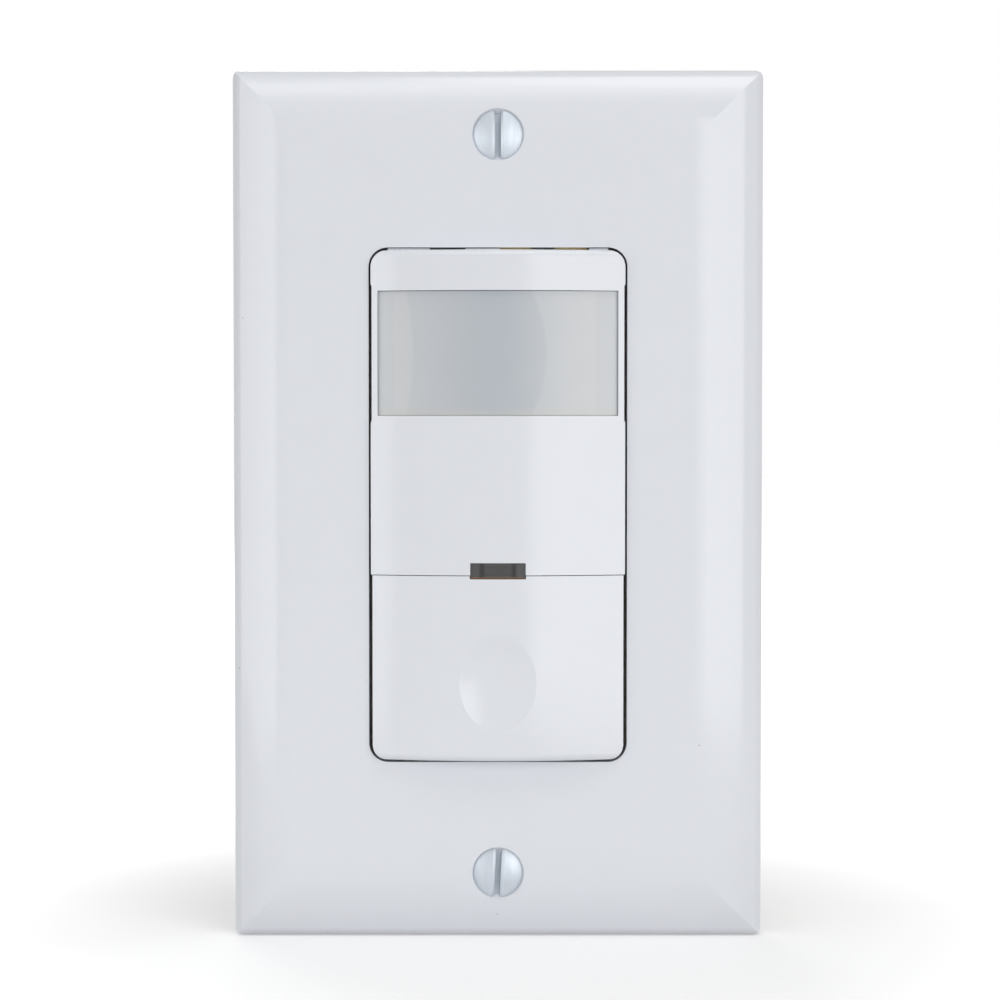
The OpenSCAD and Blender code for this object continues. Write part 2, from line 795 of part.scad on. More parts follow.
module hinge_posts() {
    half = ear_r + room;
    for (s = [-1, 1]) on_side(s) difference() {
        box(post_x - ear_w / 2, post_x + ear_w / 2, post_top, neck_front + sink,
            hinge_z - half, hinge_z + half);
        rod_x(hinge_y, hinge_z, hinge_r, 0, face_w);
        box(0, face_w, post_top - cut, hinge_y, hinge_z - hinge_r, hinge_z + hinge_r);
    }
}

module front_frame() {
    color("white") difference() {
        union() {
            along_y(0, flange_t) rounded_rect(housing_w, housing_h, housing_r);
            along_y(neck_front, sink) rounded_rect(neck_w, neck_h, face_corner_r);
            hinge_posts();
            for (s = [-1, 1]) rod_y(s * boss_x, 0, board_boss_r, flange_t - sink, board_front);
        }
        box(-upper_half, upper_half, neck_front - cut, flange_t + cut,
            lens_bottom - lens_flange - lens_room, lens_top + lens_flange + lens_room);
        box(-lower_half, lower_half, neck_front - cut, flange_t + cut, floor_top, lens_mid);
        box(-upper_half, upper_half, floor_back, flange_t + cut,
            neck_wall - neck_h / 2, floor_top - neck_wall);
        for (x = [-1, 0, 1]) rod_y(x * dial_pitch, dial_z, dial_r + room, neck_front - cut, flange_t);
        rod_y(0, dish_z, press_hole_r, neck_front - cut, flange_t);
        for (x = [-1, 1], z = [-1, 1])
            rod_y(x * column_x, z * column_z, case_hole_r, -cut, flange_t + cut);
        for (s = [-1, 1]) rod_y(s * boss_x, 0, board_screw_r + run, flange_t / 2, board_front + cut);
    }
}

// Front cover: the top band, the frame of the lens and the panel under it, in one shell

module cover_outline(inset) {
    rounded_rect(face_w - 2 * inset, face_h - 2 * inset, face_corner_r - inset);
}

// The outline of the cover where its rails step in beside the lens
module stepped_outline() {
    difference() {
        cover_outline(0);
        for (s = [-1, 1]) translate([s * (face_w / 2 + cut - rail_step), lens_mid])
            square([2 * cut, lens_h + 2 * rail_step_z], center = true);
    }
}

// Ribs on the cover's top wall that centre it in the plate's opening
module top_ribs() {
    end = face_w / 2 - face_corner_r;
    middle_end = strap_lip_x - strap_lip_w / 2;
    spans = [[-end, left_rib_w - end], [middle_end - middle_rib_w, middle_end], [end - right_rib_w, end]];
    for (span = spans)
        box(span[0], span[1], plate_front + top_rib_in, neck_front,
            face_top - sink, face_top + face_gap_z - loose);
}

module front_cover() {
    notch_half = max(window_w / 2 + window_flange, holder_w / 2) + room;
    color("white") difference() {
        union() {
            intersection() {
                face_body(cover_bottom, face_top, true);
                along_y(face_front - cut, neck_front) stepped_outline();
            }
            top_ribs();
        }
        intersection() {
            under_skin(cover_bottom + face_wall, face_top - face_wall);
            along_y(face_front - cut, cut) cover_outline(face_wall);
        }
        intersection() {
            under_skin(cover_bottom - cut, cover_bottom + face_wall + cut);
            box(-notch_half, notch_half, face_front - cut, cut, cover_bottom - cut, lens_bottom);
        }
        box(-lens_w / 2, lens_w / 2, face_front - cut, cut, lens_bottom, lens_top);
        box(-window_w / 2 - run, window_w / 2 + run, face_front - cut, cut,
            cover_bottom - cut, window_top + run);
    }
}

// Lens: a crowned plate whose back is cut into rows of shallow facets

lens_front_r = face_r - lens_recess;
lens_back_r = lens_front_r - lens_t;

// The lens before its facets: a plate in the window, and a flange above and below it behind the skin
module lens_blank(w, h) {
    flange_half = face_w / 2 - face_wall - loose;
    intersection() {
        face_layer(lens_back_r, lens_front_r, lens_mid - h / 2, lens_mid + h / 2);
        box(-w / 2, w / 2, face_front - cut, cut, lens_bottom, lens_top);
    }
    intersection() {
        face_layer(lens_back_r, face_r - face_skin - run, lens_bottom - lens_flange, lens_top + lens_flange);
        box(-flange_half, flange_half, face_front - cut, cut,
            lens_bottom - 2 * lens_flange, lens_top + 2 * lens_flange);
    }
}

module fresnel_lens() {
    w = lens_w - 2 * run;
    h = lens_h - 2 * run;
    facet_w = w / lens_columns;
    facet_h = h / lens_rows;
    facet_reach = lens_front_r - lens_web - facet_r;
    color("gainsboro") difference() {
        lens_blank(w, h);
        for (i = [0 : lens_columns - 1], j = [0 : lens_rows - 1]) {
            turn = asin((i - (lens_columns - 1) / 2) * facet_w / lens_front_r);
            translate([0, face_axis, lens_mid + (j - (lens_rows - 1) / 2) * facet_h])
                rotate([0, 0, turn]) translate([0, -facet_reach, 0]) intersection() {
                    sphere(facet_r);
                    block(0, 0, facet_w - facet_bar, facet_h - facet_bar, -facet_r - cut, 0);
                }
        }
    }
}

// Indicator window: a smoked cup in the lower edge of the cover

module indicator_window() {
    front_r = face_r - window_recess;
    half = window_w / 2;
    cup_h = window_h - 2 * window_wall;
    color("dimgray") difference() {
        union() {
            intersection() {
                box(-half, half, face_front - cut, window_back, window_bottom, window_top);
                face_layer(face_r - face_depth, front_r, window_bottom - cut, window_top + cut);
            }
            intersection() {
                box(-half - window_flange, half + window_flange, face_front - cut, window_back,
                    window_top - window_wall, window_top + window_flange);
                translate([0, run, 0]) under_skin(window_bottom, window_top + 2 * window_flange);
            }
        }
        block(0, window_z, window_cup_w, cup_h, face_front + window_recess + window_t, window_back + cut);
        block(0, window_z, window_cup_w, cup_h, face_front - cut, face_front + window_recess + window_dip);
    }
}

// Push button: a crowned paddle with a thumb dish, hinged near its top edge

skirt_room = 1.4;
skirt_back = neck_front - skirt_room;
button_corner_r = face_corner_r - button_inset;

// The button's outline, with its lower corners rounded, and open past its top edge by over
module button_outline(inset, over) {
    half = button_w / 2 - inset;
    r = button_corner_r - inset;
    bottom = face_bottom + inset;
    top = button_top + over;
    translate([-half, bottom + r]) square([2 * half, top - bottom - r]);
    translate([r - half, bottom]) square([2 * (half - r), top - bottom]);
    for (s = [-1, 1]) translate([s * (half - r), bottom + r]) circle(r);
}

module button_shell() {
    difference() {
        intersection() {
            face_body(face_bottom, button_top, false);
            along_y(face_front - cut, skirt_back) button_outline(0, 0);
        }
        intersection() {
            under_skin(face_bottom, button_top + 2 * cut);
            along_y(face_front - cut, cut) button_outline(face_wall, cut);
        }
        translate([0, face_front + dish_depth - dish_r, dish_z]) sphere(dish_r, $fn = fine);
    }
}

module hinge_ears() {
    for (s = [-1, 1]) on_side(s) {
        box(ear_x - ear_w / 2, ear_x + ear_w / 2, skin_under(ear_x - ear_w / 2) - face_skin / 2, hinge_y,
            hinge_z - ear_r, hinge_z + ear_r);
        rod_x(hinge_y, hinge_z, ear_r, ear_x - ear_w / 2, ear_x + ear_w / 2);
    }
}

module push_button() {
    color("white") difference() {
        union() {
            button_shell();
            hinge_ears();
            rod_y(0, dish_z, press_post_r, face_front + (face_skin + dish_depth) / 2, press_tip);
        }
        rod_x(hinge_y, hinge_z, hinge_r, -face_w, face_w);
        box(-window_w / 2 - part_gap, window_w / 2 + part_gap, face_front - cut, skirt_back,
            window_bottom - part_gap, button_top + cut);
    }
}

module button_hinge_pin() {
    color("lightgray") rod_x(hinge_y, hinge_z, pin_r, -pin_half, pin_half);
}

// Setting dials and their trimmers

dial_proud = 0.4;
dial_front = neck_front - dial_proud;
trimmer_front = board_front - trimmer_d;
stem_depth = 1.9;

module dial(place) {
    mark_r = 0.9;
    mark_d = 0.6;
    slot_margin = 0.8;
    color("white") translate([place * dial_pitch, 0, dial_z]) difference() {
        union() {
            rod_y(0, 0, dial_r, dial_front, dial_front + dial_t);
            rod_y(0, 0, stem_r, dial_front + dial_t - sink, trimmer_front + stem_depth);
        }
        block(0, 0, dial_slot_w, 2 * (dial_r - slot_margin), dial_front - cut, dial_front + dial_slot_d);
        translate([0, dial_front - cut, dial_r - mark_r - room]) rotate([-90, 0, 0]) rotate([0, 0, -90])
            cylinder(h = cut + mark_d, r = mark_r, $fn = 3);
    }
}

module time_dial() {
    dial(-1);
}

module light_dial() {
    dial(0);
}

module range_dial() {
    dial(1);
}

module dial_trimmers() {
    color("royalblue") for (x = [-1, 0, 1]) difference() {
        block(x * dial_pitch, dial_z, trimmer_w, trimmer_w, trimmer_front, board_front);
        rod_y(x * dial_pitch, dial_z, stem_r + run, trimmer_front - cut, trimmer_front + stem_depth + loose);
    }
}

// Tactile switch under the dish

tact_front = board_front - tact_d;
plunger_seat = 1.6;

module tact_switch() {
    color("dimgray") difference() {
        block(0, dish_z, tact_w, tact_w, tact_front, board_front);
        rod_y(0, dish_z, plunger_r + run, tact_front - cut,
              tact_front + plunger_seat + plunger_travel + loose);
    }
}

module tact_plunger() {
    color("black") rod_y(0, dish_z, plunger_r, press_tip + press_play, tact_front + plunger_seat);
}

// Control board and what stands on it

pir_front = board_front - pir_spacer_t - pir_d;
pir_rim_w = 0.5;
pir_rim_t = 0.5;
pir_leads = [[2.54, 0], [0, -2.54], [-2.54, 0]];
filter_w = 5;
filter_h = 3.8;
filter_t = 0.4;
link_in = 6.2;
link_z = inner_z - link_in;
link_pin_r = 0.32;
link_hole_r = link_pin_r + run;
solder_tail = 0.7;

module board_outline() {
    difference() {
        square([board_w, board_h], center = true);
        for (x = [-1, 1], z = [-1, 1]) translate([x * board_w / 2, z * board_h / 2])
            square([2 * notch_x, 2 * notch_z], center = true);
    }
}

module link_places() {
    for (i = [0 : link_count - 1]) translate([(i - (link_count - 1) / 2) * link_pitch, link_z]) children();
}

// The places of the two leads of the lamp at side s
module lamp_leads(s) {
    for (t = [-1, 1]) translate([(s * lamp_pitch + t * lead_pitch) / 2, window_z]) children();
}

module pir_lead_places() {
    for (p = pir_leads) translate([p[0], lens_mid + p[1]]) children();
}

module control_board() {
    color("seagreen") along_y(board_front, board_back) difference() {
        board_outline();
        for (s = [-1, 1]) translate([s * boss_x, 0]) circle(board_screw_r + loose);
        link_places() circle(link_hole_r);
        pir_lead_places() circle(lead_hole_r);
        for (s = [-1, 1]) lamp_leads(s) circle(lead_hole_r);
    }
}

module control_board_screws() {
    head_r = 1.9;
    head_h = 1.3;
    bite_l = 4.5;
    slot_w = 0.5;
    color("silver") for (s = [-1, 1]) translate([s * boss_x, board_back, 0]) mirror([0, 1, 0])
        pan_head_screw(head_r, head_h, board_screw_r, board_t + bite_l, slot_w);
}

module pir_sensor() {
    can_back = pir_front + pir_d;
    color("silver") difference() {
        union() {
            rod_y(0, lens_mid, pir_r - pir_rim_w, pir_front, can_back);
            rod_y(0, lens_mid, pir_r, can_back - pir_rim_t, can_back);
            along_y(can_back - sink, board_back + lead_tail) pir_lead_places() circle(lead_r);
        }
        block(0, lens_mid, filter_w, filter_h, pir_front - cut, pir_front + filter_t);
    }
}

module pir_filter() {
    color("darkslategray")
        block(0, lens_mid, filter_w - 2 * run, filter_h - 2 * run, pir_front, pir_front + filter_t);
}

module pir_spacer() {
    color("white") along_y(board_front - pir_spacer_t, board_front) difference() {
        translate([0, lens_mid]) circle(pir_r);
        pir_lead_places() circle(lead_hole_r);
    }
}

module lamp_holder() {
    color("black") difference() {
        block(0, window_z, holder_w, holder_h, holder_front, board_front);
        for (s = [-1, 1]) {
            rod_y(s * lamp_pitch / 2, window_z, lamp_r + run,
                  holder_front - cut, holder_front + lamp_l + loose);
            along_y(holder_front, board_front + cut) lamp_leads(s) circle(lead_hole_r);
        }
    }
}

// A lamp with a round front, a straight body and two leads
module lamp(s) {
    rod_y(s * lamp_pitch / 2, window_z, lamp_r, holder_front, holder_front + lamp_l);
    translate([s * lamp_pitch / 2, holder_front, window_z]) sphere(lamp_r);
    along_y(holder_front + lamp_l - sink, board_back + lead_tail) lamp_leads(s) circle(lead_r);
}

module indicator_lamp() {
    color("tomato") lamp(-1);
}

module light_sensor() {
    color("aliceblue") lamp(1);
}

module microcontroller() {
    w = 10.4;
    h = 4;
    t = 1.5;
    stand = 0.1;
    legs = 8;
    leg_pitch = 1.27;
    leg_w = 0.42;
    leg_l = 1.2;
    below_lens = 7;
    z = lens_bottom - below_lens;
    color("black") {
        block(0, z, w, h, board_back + stand, board_back + stand + t);
        for (i = [0 : legs - 1], s = [-1, 1])
            block((i - (legs - 1) / 2) * leg_pitch, z + s * ((h + leg_l) / 2 - sink), leg_w, leg_l,
                  board_back, board_back + t / 2);
    }
}

module link_header() {
    header_h = 2.5;
    color("black") along_y(power_front - header_h, power_front) difference() {
        translate([0, link_z]) square([link_count * link_pitch, header_h], center = true);
        link_places() circle(link_hole_r);
    }
}

module link_pins() {
    color("gold") along_y(board_front - solder_tail, power_back + solder_tail) link_places()
        circle(link_pin_r);
}

// Power board and what stands on it

part_spacing = 5;
relay_edge = 2.4;
relay_foot = 5.6;
relay_x = relay_edge + relay_w / 2 - inner_x;
relay_z = relay_foot + relay_h / 2 - inner_z;
relay_front = power_front - relay_d;
relay_base_front = power_front - relay_base_t;
relay_pin_r = 0.5;
relay_pins = [[-4, -8], [4, -8], [0, 8], [-4, 3]];

module relay_pin_places() {
    for (p = relay_pins) translate([relay_x + p[0], relay_z + p[1]]) children();
}

module power_board() {
    color("seagreen") along_y(power_front, power_back) difference() {
        board_outline();
        link_places() circle(link_hole_r);
        relay_pin_places() circle(relay_pin_r + loose);
        for (t = terminals) translate([t[0] * (pocket_floor + terminal_t / 2), t[1]])
            square([terminal_t + 2 * loose, terminal_leg_w + 2 * loose], center = true);
    }
}

module relay_base() {
    color("black") {
        block(relay_x, relay_z, relay_w, relay_h, relay_base_front, power_front);
        along_y(power_front - sink, power_back + solder_tail) relay_pin_places() circle(relay_pin_r);
    }
}

module relay_case() {
    color("royalblue") difference() {
        block(relay_x, relay_z, relay_w, relay_h, relay_front, relay_base_front);
        block(relay_x, relay_z, relay_w - 2 * relay_wall, relay_h - 2 * relay_wall,
              relay_front + relay_wall, relay_base_front + cut);
    }
}

// Inside the relay: the coil stands on the base, with its yoke above it and the contacts below

armature_room = 0.6;
armature_back = relay_front + relay_wall + armature_room + armature_t;
armature_w = 7.2;
core_front = armature_back + armature_gap;
coil_up = 2.2;
coil_z = relay_z + coil_up;
yoke_t = 1.3;
yoke_z = coil_z + spool_r + room;
yoke_toe = 1;
yoke_foot_front = relay_base_front - yoke_t;
spool_rim = 1;
spool_lip = 0.4;
contact_t = 0.9;
leaf_t = 0.3;
leaf_w = 3;
blade_t = 0.8;
blade_reach = 1.4;
blade_gap = 0.6;
contact_z = relay_z - relay_h / 2 + relay_wall + blade_gap + blade_reach;

module relay_coil() {
    front = core_front + spool_lip;
    color("sienna") difference() {
        union() {
            rod_y(relay_x, coil_z, coil_r, front, yoke_foot_front);
            rod_y(relay_x, coil_z, spool_r, front, front + spool_rim);
            rod_y(relay_x, coil_z, spool_r, yoke_foot_front - spool_rim, yoke_foot_front);
        }
        rod_y(relay_x, coil_z, core_r + run, core_front, relay_base_front);
    }
}

module relay_yoke() {
    x0 = relay_x - armature_w / 2;
    x1 = relay_x + armature_w / 2;
    color("silver") {
        rod_y(relay_x, coil_z, core_r, core_front, relay_base_front);
        box(x0, x1, yoke_foot_front, relay_base_front, coil_z - core_r - yoke_toe, yoke_z + yoke_t);
        box(x0, x1, armature_back + loose, relay_base_front, yoke_z, yoke_z + yoke_t);
    }
}

module relay_armature() {
    color("lightgray") box(relay_x - armature_w / 2, relay_x + armature_w / 2,
        armature_back - armature_t, armature_back, coil_z - spool_r, yoke_z + yoke_t);
}

module relay_moving_contact() {
    leaf_back = armature_back + leaf_t;
    color("orange") {
        box(relay_x - leaf_w / 2, relay_x + leaf_w / 2, armature_back, leaf_back,
            contact_z - blade_reach, coil_z - core_r - room);
        rod_y(relay_x, contact_z, contact_r, leaf_back - sink, leaf_back + contact_t);
    }
}

module relay_fixed_contact() {
    front = armature_back + leaf_t + contact_t + contact_gap;
    blade_front = front + contact_t;
    blade_top = contact_z + contact_r + blade_t;
    x0 = relay_x - leaf_w / 2;
    x1 = relay_x + leaf_w / 2;
    color("orange") {
        rod_y(relay_x, contact_z, contact_r, front, blade_front + sink);
        box(x0, x1, blade_front, blade_front + blade_t, contact_z - blade_reach, blade_top);
        box(x0, x1, blade_front, relay_base_front, blade_top - blade_t, blade_top);
    }
}

film_x = relay_x + relay_w / 2 + part_spacing + film_w / 2;
film_z = relay_foot + film_h / 2 - inner_z;
smoothing_in = 1.4;
smoothing_x = pocket_floor - pocket_wall - smoothing_in - smoothing_r;
smoothing_z = 0;
foot_step = 0.4;
varistor_x = -(pocket_floor - pocket_wall - part_spacing - varistor_t / 2);
varistor_z = 7.5;
choke_x = 1.4;
choke_z = 7.5;
rectifier_x = smoothing_x;
rectifier_leg_w = 1.4;
fuse_gap = 0.75;
fuse_x = rectifier_x - (rectifier_w + rectifier_leg_w) / 2 - fuse_gap - fuse_l / 2;
fuse_drop = 6.8;
fuse_z = link_z - fuse_drop;

module film_capacitor() {
    color("gold") block(film_x, film_z, film_w, film_h, power_front - film_d, power_front);
}

module smoothing_capacitor() {
    groove = 0.6;
    color("midnightblue") {
        rod_y(smoothing_x, smoothing_z, smoothing_r, power_front - smoothing_d, power_front - groove);
        rod_y(smoothing_x, smoothing_z, smoothing_r - foot_step, power_front - groove - sink, power_front);
    }
}

module varistor() {
    stand = 1.2;
    y = power_front - stand - varistor_r;
    lead_z = 2.5;
    color("steelblue") {
        rod_x(y, varistor_z, varistor_r, varistor_x - varistor_t / 2, varistor_x + varistor_t / 2);
        for (s = [-1, 1])
            rod_y(varistor_x + s * varistor_t / 4, varistor_z + s * lead_z, lead_r, y, power_front);
    }
}

module fuse() {
    stand = 0.8;
    lead_in = 1;
    y = power_front - stand - fuse_r;
    color("tan") {
        rod_x(y, fuse_z, fuse_r, fuse_x - fuse_l / 2, fuse_x + fuse_l / 2);
        for (s = [-1, 1]) rod_y(fuse_x + s * (fuse_l / 2 - lead_in), fuse_z, lead_r, y, power_front);
    }
}

module choke_core() {
    color("dimgray") {
        rod_y(choke_x, choke_z, choke_r, power_front - choke_rim_t, power_front);
        rod_y(choke_x, choke_z, choke_core_r, power_front - choke_d, power_front);
        rod_y(choke_x, choke_z, choke_r, power_front - choke_d, power_front - choke_d + choke_rim_t);
    }
}

module choke_winding() {
    y0 = power_front - choke_d + choke_rim_t + run;
    y1 = power_front - choke_rim_t - run;
    color("chocolate") difference() {
        rod_y(choke_x, choke_z, choke_r - foot_step, y0, y1);
        rod_y(choke_x, choke_z, choke_core_r + run, y0 - cut, y1 + cut);
    }
}

module bridge_rectifier() {
    stand = 0.4;
    leg_h = 1.2;
    leg_pitch = 5;
    color("black") {
        block(rectifier_x, fuse_z, rectifier_w, rectifier_h,
              power_front - stand - rectifier_t, power_front - stand);
        for (x = [-1, 1], z = [-1, 1])
            block(rectifier_x + x * rectifier_w / 2, fuse_z + z * leg_pitch / 2, rectifier_leg_w, leg_h,
                  power_front - rectifier_t / 2, power_front);
    }
}

// Rear housing with its corner columns and terminal pockets

board_rest_r = 1.6;
board_rest_in_x = 8.25;
board_rest_in_z = 6.5;
board_rest_x = inner_x - board_rest_in_x;
board_rest_z = inner_z - board_rest_in_z;

// A terminal pocket at height z, with walls round it, that reaches past the housing's side by over
module pocket_block(z, wall, over) {
    half = pocket_w / 2 + wall;
    box(pocket_floor - wall, housing_w / 2 + over, terminal_y - half, terminal_y + half, z - half, z + half);
}

// The housing's section over a width, with its two back corners cut off
module housing_section(w) {
    back = w / 2 - housing_bevel;
    polygon([
        [-w / 2, flange_t], [w / 2, flange_t], [w / 2, housing_back - housing_bevel],
        [back, housing_back], [-back, housing_back], [-w / 2, housing_back - housing_bevel]
    ]);
}

// The housing's outer shape
module housing_blank() {
    intersection() {
        along_y(flange_t, housing_back) rounded_rect(housing_w, housing_h, housing_r);
        along_z(-housing_h, housing_h) housing_section(housing_w);
        rotate([0, 90, 0]) along_z(-housing_w, housing_w) housing_section(housing_h);
    }
}

module housing_shell() {
    difference() {
        housing_blank();
        along_y(flange_t - cut, housing_back - housing_wall)
            square([2 * inner_x, 2 * inner_z], center = true);
    }
    for (x = [-1, 1], z = [-1, 1]) {
        intersection() {
            housing_blank();
            block(x * column_x, z * column_z, 2 * column_half, 2 * column_half, flange_t, housing_back);
        }
        rod_y(x * board_rest_x, z * board_rest_z, board_rest_r, power_back, housing_back - sink);
    }
    for (t = terminals) on_side(t[0]) pocket_block(t[1], pocket_wall, -sink);
}

module rear_housing() {
    leg_half = terminal_leg_w / 2 + loose;
    color("dimgray") difference() {
        housing_shell();
        along_y(housing_back - field_d, housing_back + cut)
            rounded_rect(housing_w - 2 * field_margin, housing_h - 2 * field_margin, housing_r);
        for (x = [-1, 1], z = [-1, 1]) {
            rod_y(x * column_x, z * column_z, case_hole_r, flange_t - cut, housing_back + cut);
            rod_y(x * column_x, z * column_z, case_bore_r, case_bore_floor, housing_back + cut);
        }
        for (t = terminals) on_side(t[0]) {
            pocket_block(t[1], 0, cut);
            rod_x(terminal_y, t[1], screw_r + room, pocket_floor - pocket_wall - cut, pocket_floor + cut);
            box(pocket_floor - loose, pocket_floor + terminal_t + loose, terminal_y, power_front,
                t[1] - leg_half, t[1] + leg_half);
        }
    }
}

module housing_screws() {
    slot_w = 0.7;
    color("silver") for (x = [-1, 1], z = [-1, 1])
        translate([x * column_x, case_bore_floor, z * column_z]) mirror([0, 1, 0])
            pan_head_screw(case_head_r, case_head_h, case_screw_r, case_screw_l, slot_w);
}

// Terminals: a plate in the pocket, a clamp on it and a binding screw through both

terminal_margin = 0.8;
clamp_margin = 0.4;
terminal_half = pocket_w / 2 - terminal_margin;
clamp_half = terminal_half - clamp_margin;
clamp_x = pocket_floor + terminal_t;

module terminal_plates() {
    color("goldenrod") for (t = terminals) on_side(t[0]) difference() {
        union() {
            box(pocket_floor, clamp_x, terminal_y - terminal_half, terminal_y + terminal_half,
                t[1] - terminal_half, t[1] + terminal_half);
            box(pocket_floor, clamp_x, terminal_y, power_back + solder_tail,
                t[1] - terminal_leg_w / 2, t[1] + terminal_leg_w / 2);
        }
        rod_x(terminal_y, t[1], screw_hole_r, pocket_floor - cut, clamp_x + cut);
    }
}

module terminal_clamps() {
    color("silver") for (t = terminals) on_side(t[0]) difference() {
        box(clamp_x, clamp_x + clamp_t, terminal_y - clamp_half, terminal_y + clamp_half,
            t[1] - clamp_half, t[1] + clamp_half);
        rod_x(terminal_y, t[1], screw_hole_r, clamp_x - cut, clamp_x + clamp_t + cut);
    }
}

module terminal_screw(side, z) {
    length = terminal_t + clamp_t + pocket_wall;
    slot_w = 1.1;
    on_side(side) translate([clamp_x + clamp_t, terminal_y, z]) rotate([0, 0, 90])
        pan_head_screw(terminal_head_r, terminal_head_h, screw_r, length, slot_w);
}

module live_terminal_screws() {
    color("goldenrod") for (t = live_terminals) terminal_screw(t[0], t[1]);
}

module neutral_terminal_screw() {
    color("silver") for (t = neutral_terminals) terminal_screw(t[0], t[1]);
}

wall_plate();
wall_plate_screws();
mounting_strap();
box_screws();
box_screw_washers();
earth_screw();
front_frame();
front_cover();
fresnel_lens();
indicator_window();
push_button();
button_hinge_pin();
time_dial();
light_dial();
range_dial();
dial_trimmers();
tact_switch();
tact_plunger();
control_board();
control_board_screws();
pir_sensor();
pir_filter();
pir_spacer();
lamp_holder();
indicator_lamp();
light_sensor();
microcontroller();
link_header();
link_pins();
power_board();
relay_base();
relay_case();
relay_coil();
relay_yoke();
relay_armature();
relay_moving_contact();
relay_fixed_contact();
film_capacitor();
smoothing_capacitor();
varistor();
fuse();
choke_core();
choke_winding();
bridge_rectifier();
rear_housing();
housing_screws();
live_terminal_screws();
neutral_terminal_screw();
terminal_plates();
terminal_clamps();
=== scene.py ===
"""Motion sensor light switch: finishes, cut screws, wound wire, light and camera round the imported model."""
import json
import math

import bmesh
import bpy
from mathutils import Matrix, Vector


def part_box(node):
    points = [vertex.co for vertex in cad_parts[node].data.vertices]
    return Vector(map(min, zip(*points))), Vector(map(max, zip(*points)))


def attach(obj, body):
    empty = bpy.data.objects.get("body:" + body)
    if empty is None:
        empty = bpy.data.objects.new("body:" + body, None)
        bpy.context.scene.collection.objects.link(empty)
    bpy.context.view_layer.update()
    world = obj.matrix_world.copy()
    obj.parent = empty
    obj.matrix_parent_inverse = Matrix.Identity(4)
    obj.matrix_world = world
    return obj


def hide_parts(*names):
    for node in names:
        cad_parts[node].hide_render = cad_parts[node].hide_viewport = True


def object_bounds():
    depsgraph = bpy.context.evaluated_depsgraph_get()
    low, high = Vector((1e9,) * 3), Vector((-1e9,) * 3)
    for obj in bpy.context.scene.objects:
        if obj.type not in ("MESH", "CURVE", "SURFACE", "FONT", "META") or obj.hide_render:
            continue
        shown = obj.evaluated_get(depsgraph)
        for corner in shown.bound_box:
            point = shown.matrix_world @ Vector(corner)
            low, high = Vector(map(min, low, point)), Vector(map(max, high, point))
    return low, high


MM = 0.001

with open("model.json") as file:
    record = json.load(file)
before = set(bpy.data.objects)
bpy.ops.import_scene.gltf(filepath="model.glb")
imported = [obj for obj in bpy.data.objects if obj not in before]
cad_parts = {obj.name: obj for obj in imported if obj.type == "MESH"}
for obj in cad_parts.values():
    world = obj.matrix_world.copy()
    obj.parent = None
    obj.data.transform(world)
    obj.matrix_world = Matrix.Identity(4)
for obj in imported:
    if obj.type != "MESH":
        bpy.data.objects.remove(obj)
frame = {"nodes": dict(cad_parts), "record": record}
cad_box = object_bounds()
nodes = frame["nodes"]
scene = bpy.context.scene


# Helpers for node trees

# A mix node's colour sockets, by number because its other sockets share their names
MIX_FIRST = 6
MIX_SECOND = 7
MIX_RESULT = 2
# Most values of a noise lie between these two
NOISE_LOW = 0.3
NOISE_HIGH = 0.7
NOISE_ROUGHNESS = 0.55
# Share of a speck's radius that has its full colour
SPECK_CORE = 0.6


class Nodes:
    """Adds nodes to a tree and links them."""

    def __init__(self, tree):
        self.tree = tree

    def node(self, kind, settings=None, inputs=None):
        """A new node with its settings, and with values or other nodes' outputs for its inputs."""
        made = self.tree.nodes.new(kind)
        for name, value in (settings or {}).items():
            setattr(made, name, value)
        for name, value in (inputs or {}).items():
            self.feed(made.inputs[name], value)
        return made

    def feed(self, socket, value):
        """Links another node's output to the socket, or sets the socket's own value."""
        if isinstance(value, bpy.types.NodeSocket):
            self.tree.links.new(value, socket)
        else:
            socket.default_value = value

    def span(self, value, from_low, from_high, to_low, to_high, smooth=False):
        """Carries a value over from one span to another, and holds it at the ends."""
        kind = "SMOOTHSTEP" if smooth else "LINEAR"
        made = self.node("ShaderNodeMapRange", {"interpolation_type": kind}, {
            "Value": value,
            "From Min": from_low,
            "From Max": from_high,
            "To Min": to_low,
            "To Max": to_high,
        })
        return made.outputs["Result"]

    def math(self, operation, first, second=0.0):
        return self.node("ShaderNodeMath", {"operation": operation}, {0: first, 1: second}).outputs["Value"]

    def total(self, *values):
        made = values[0]
        for value in values[1:]:
            made = self.math("ADD", made, value)
        return made


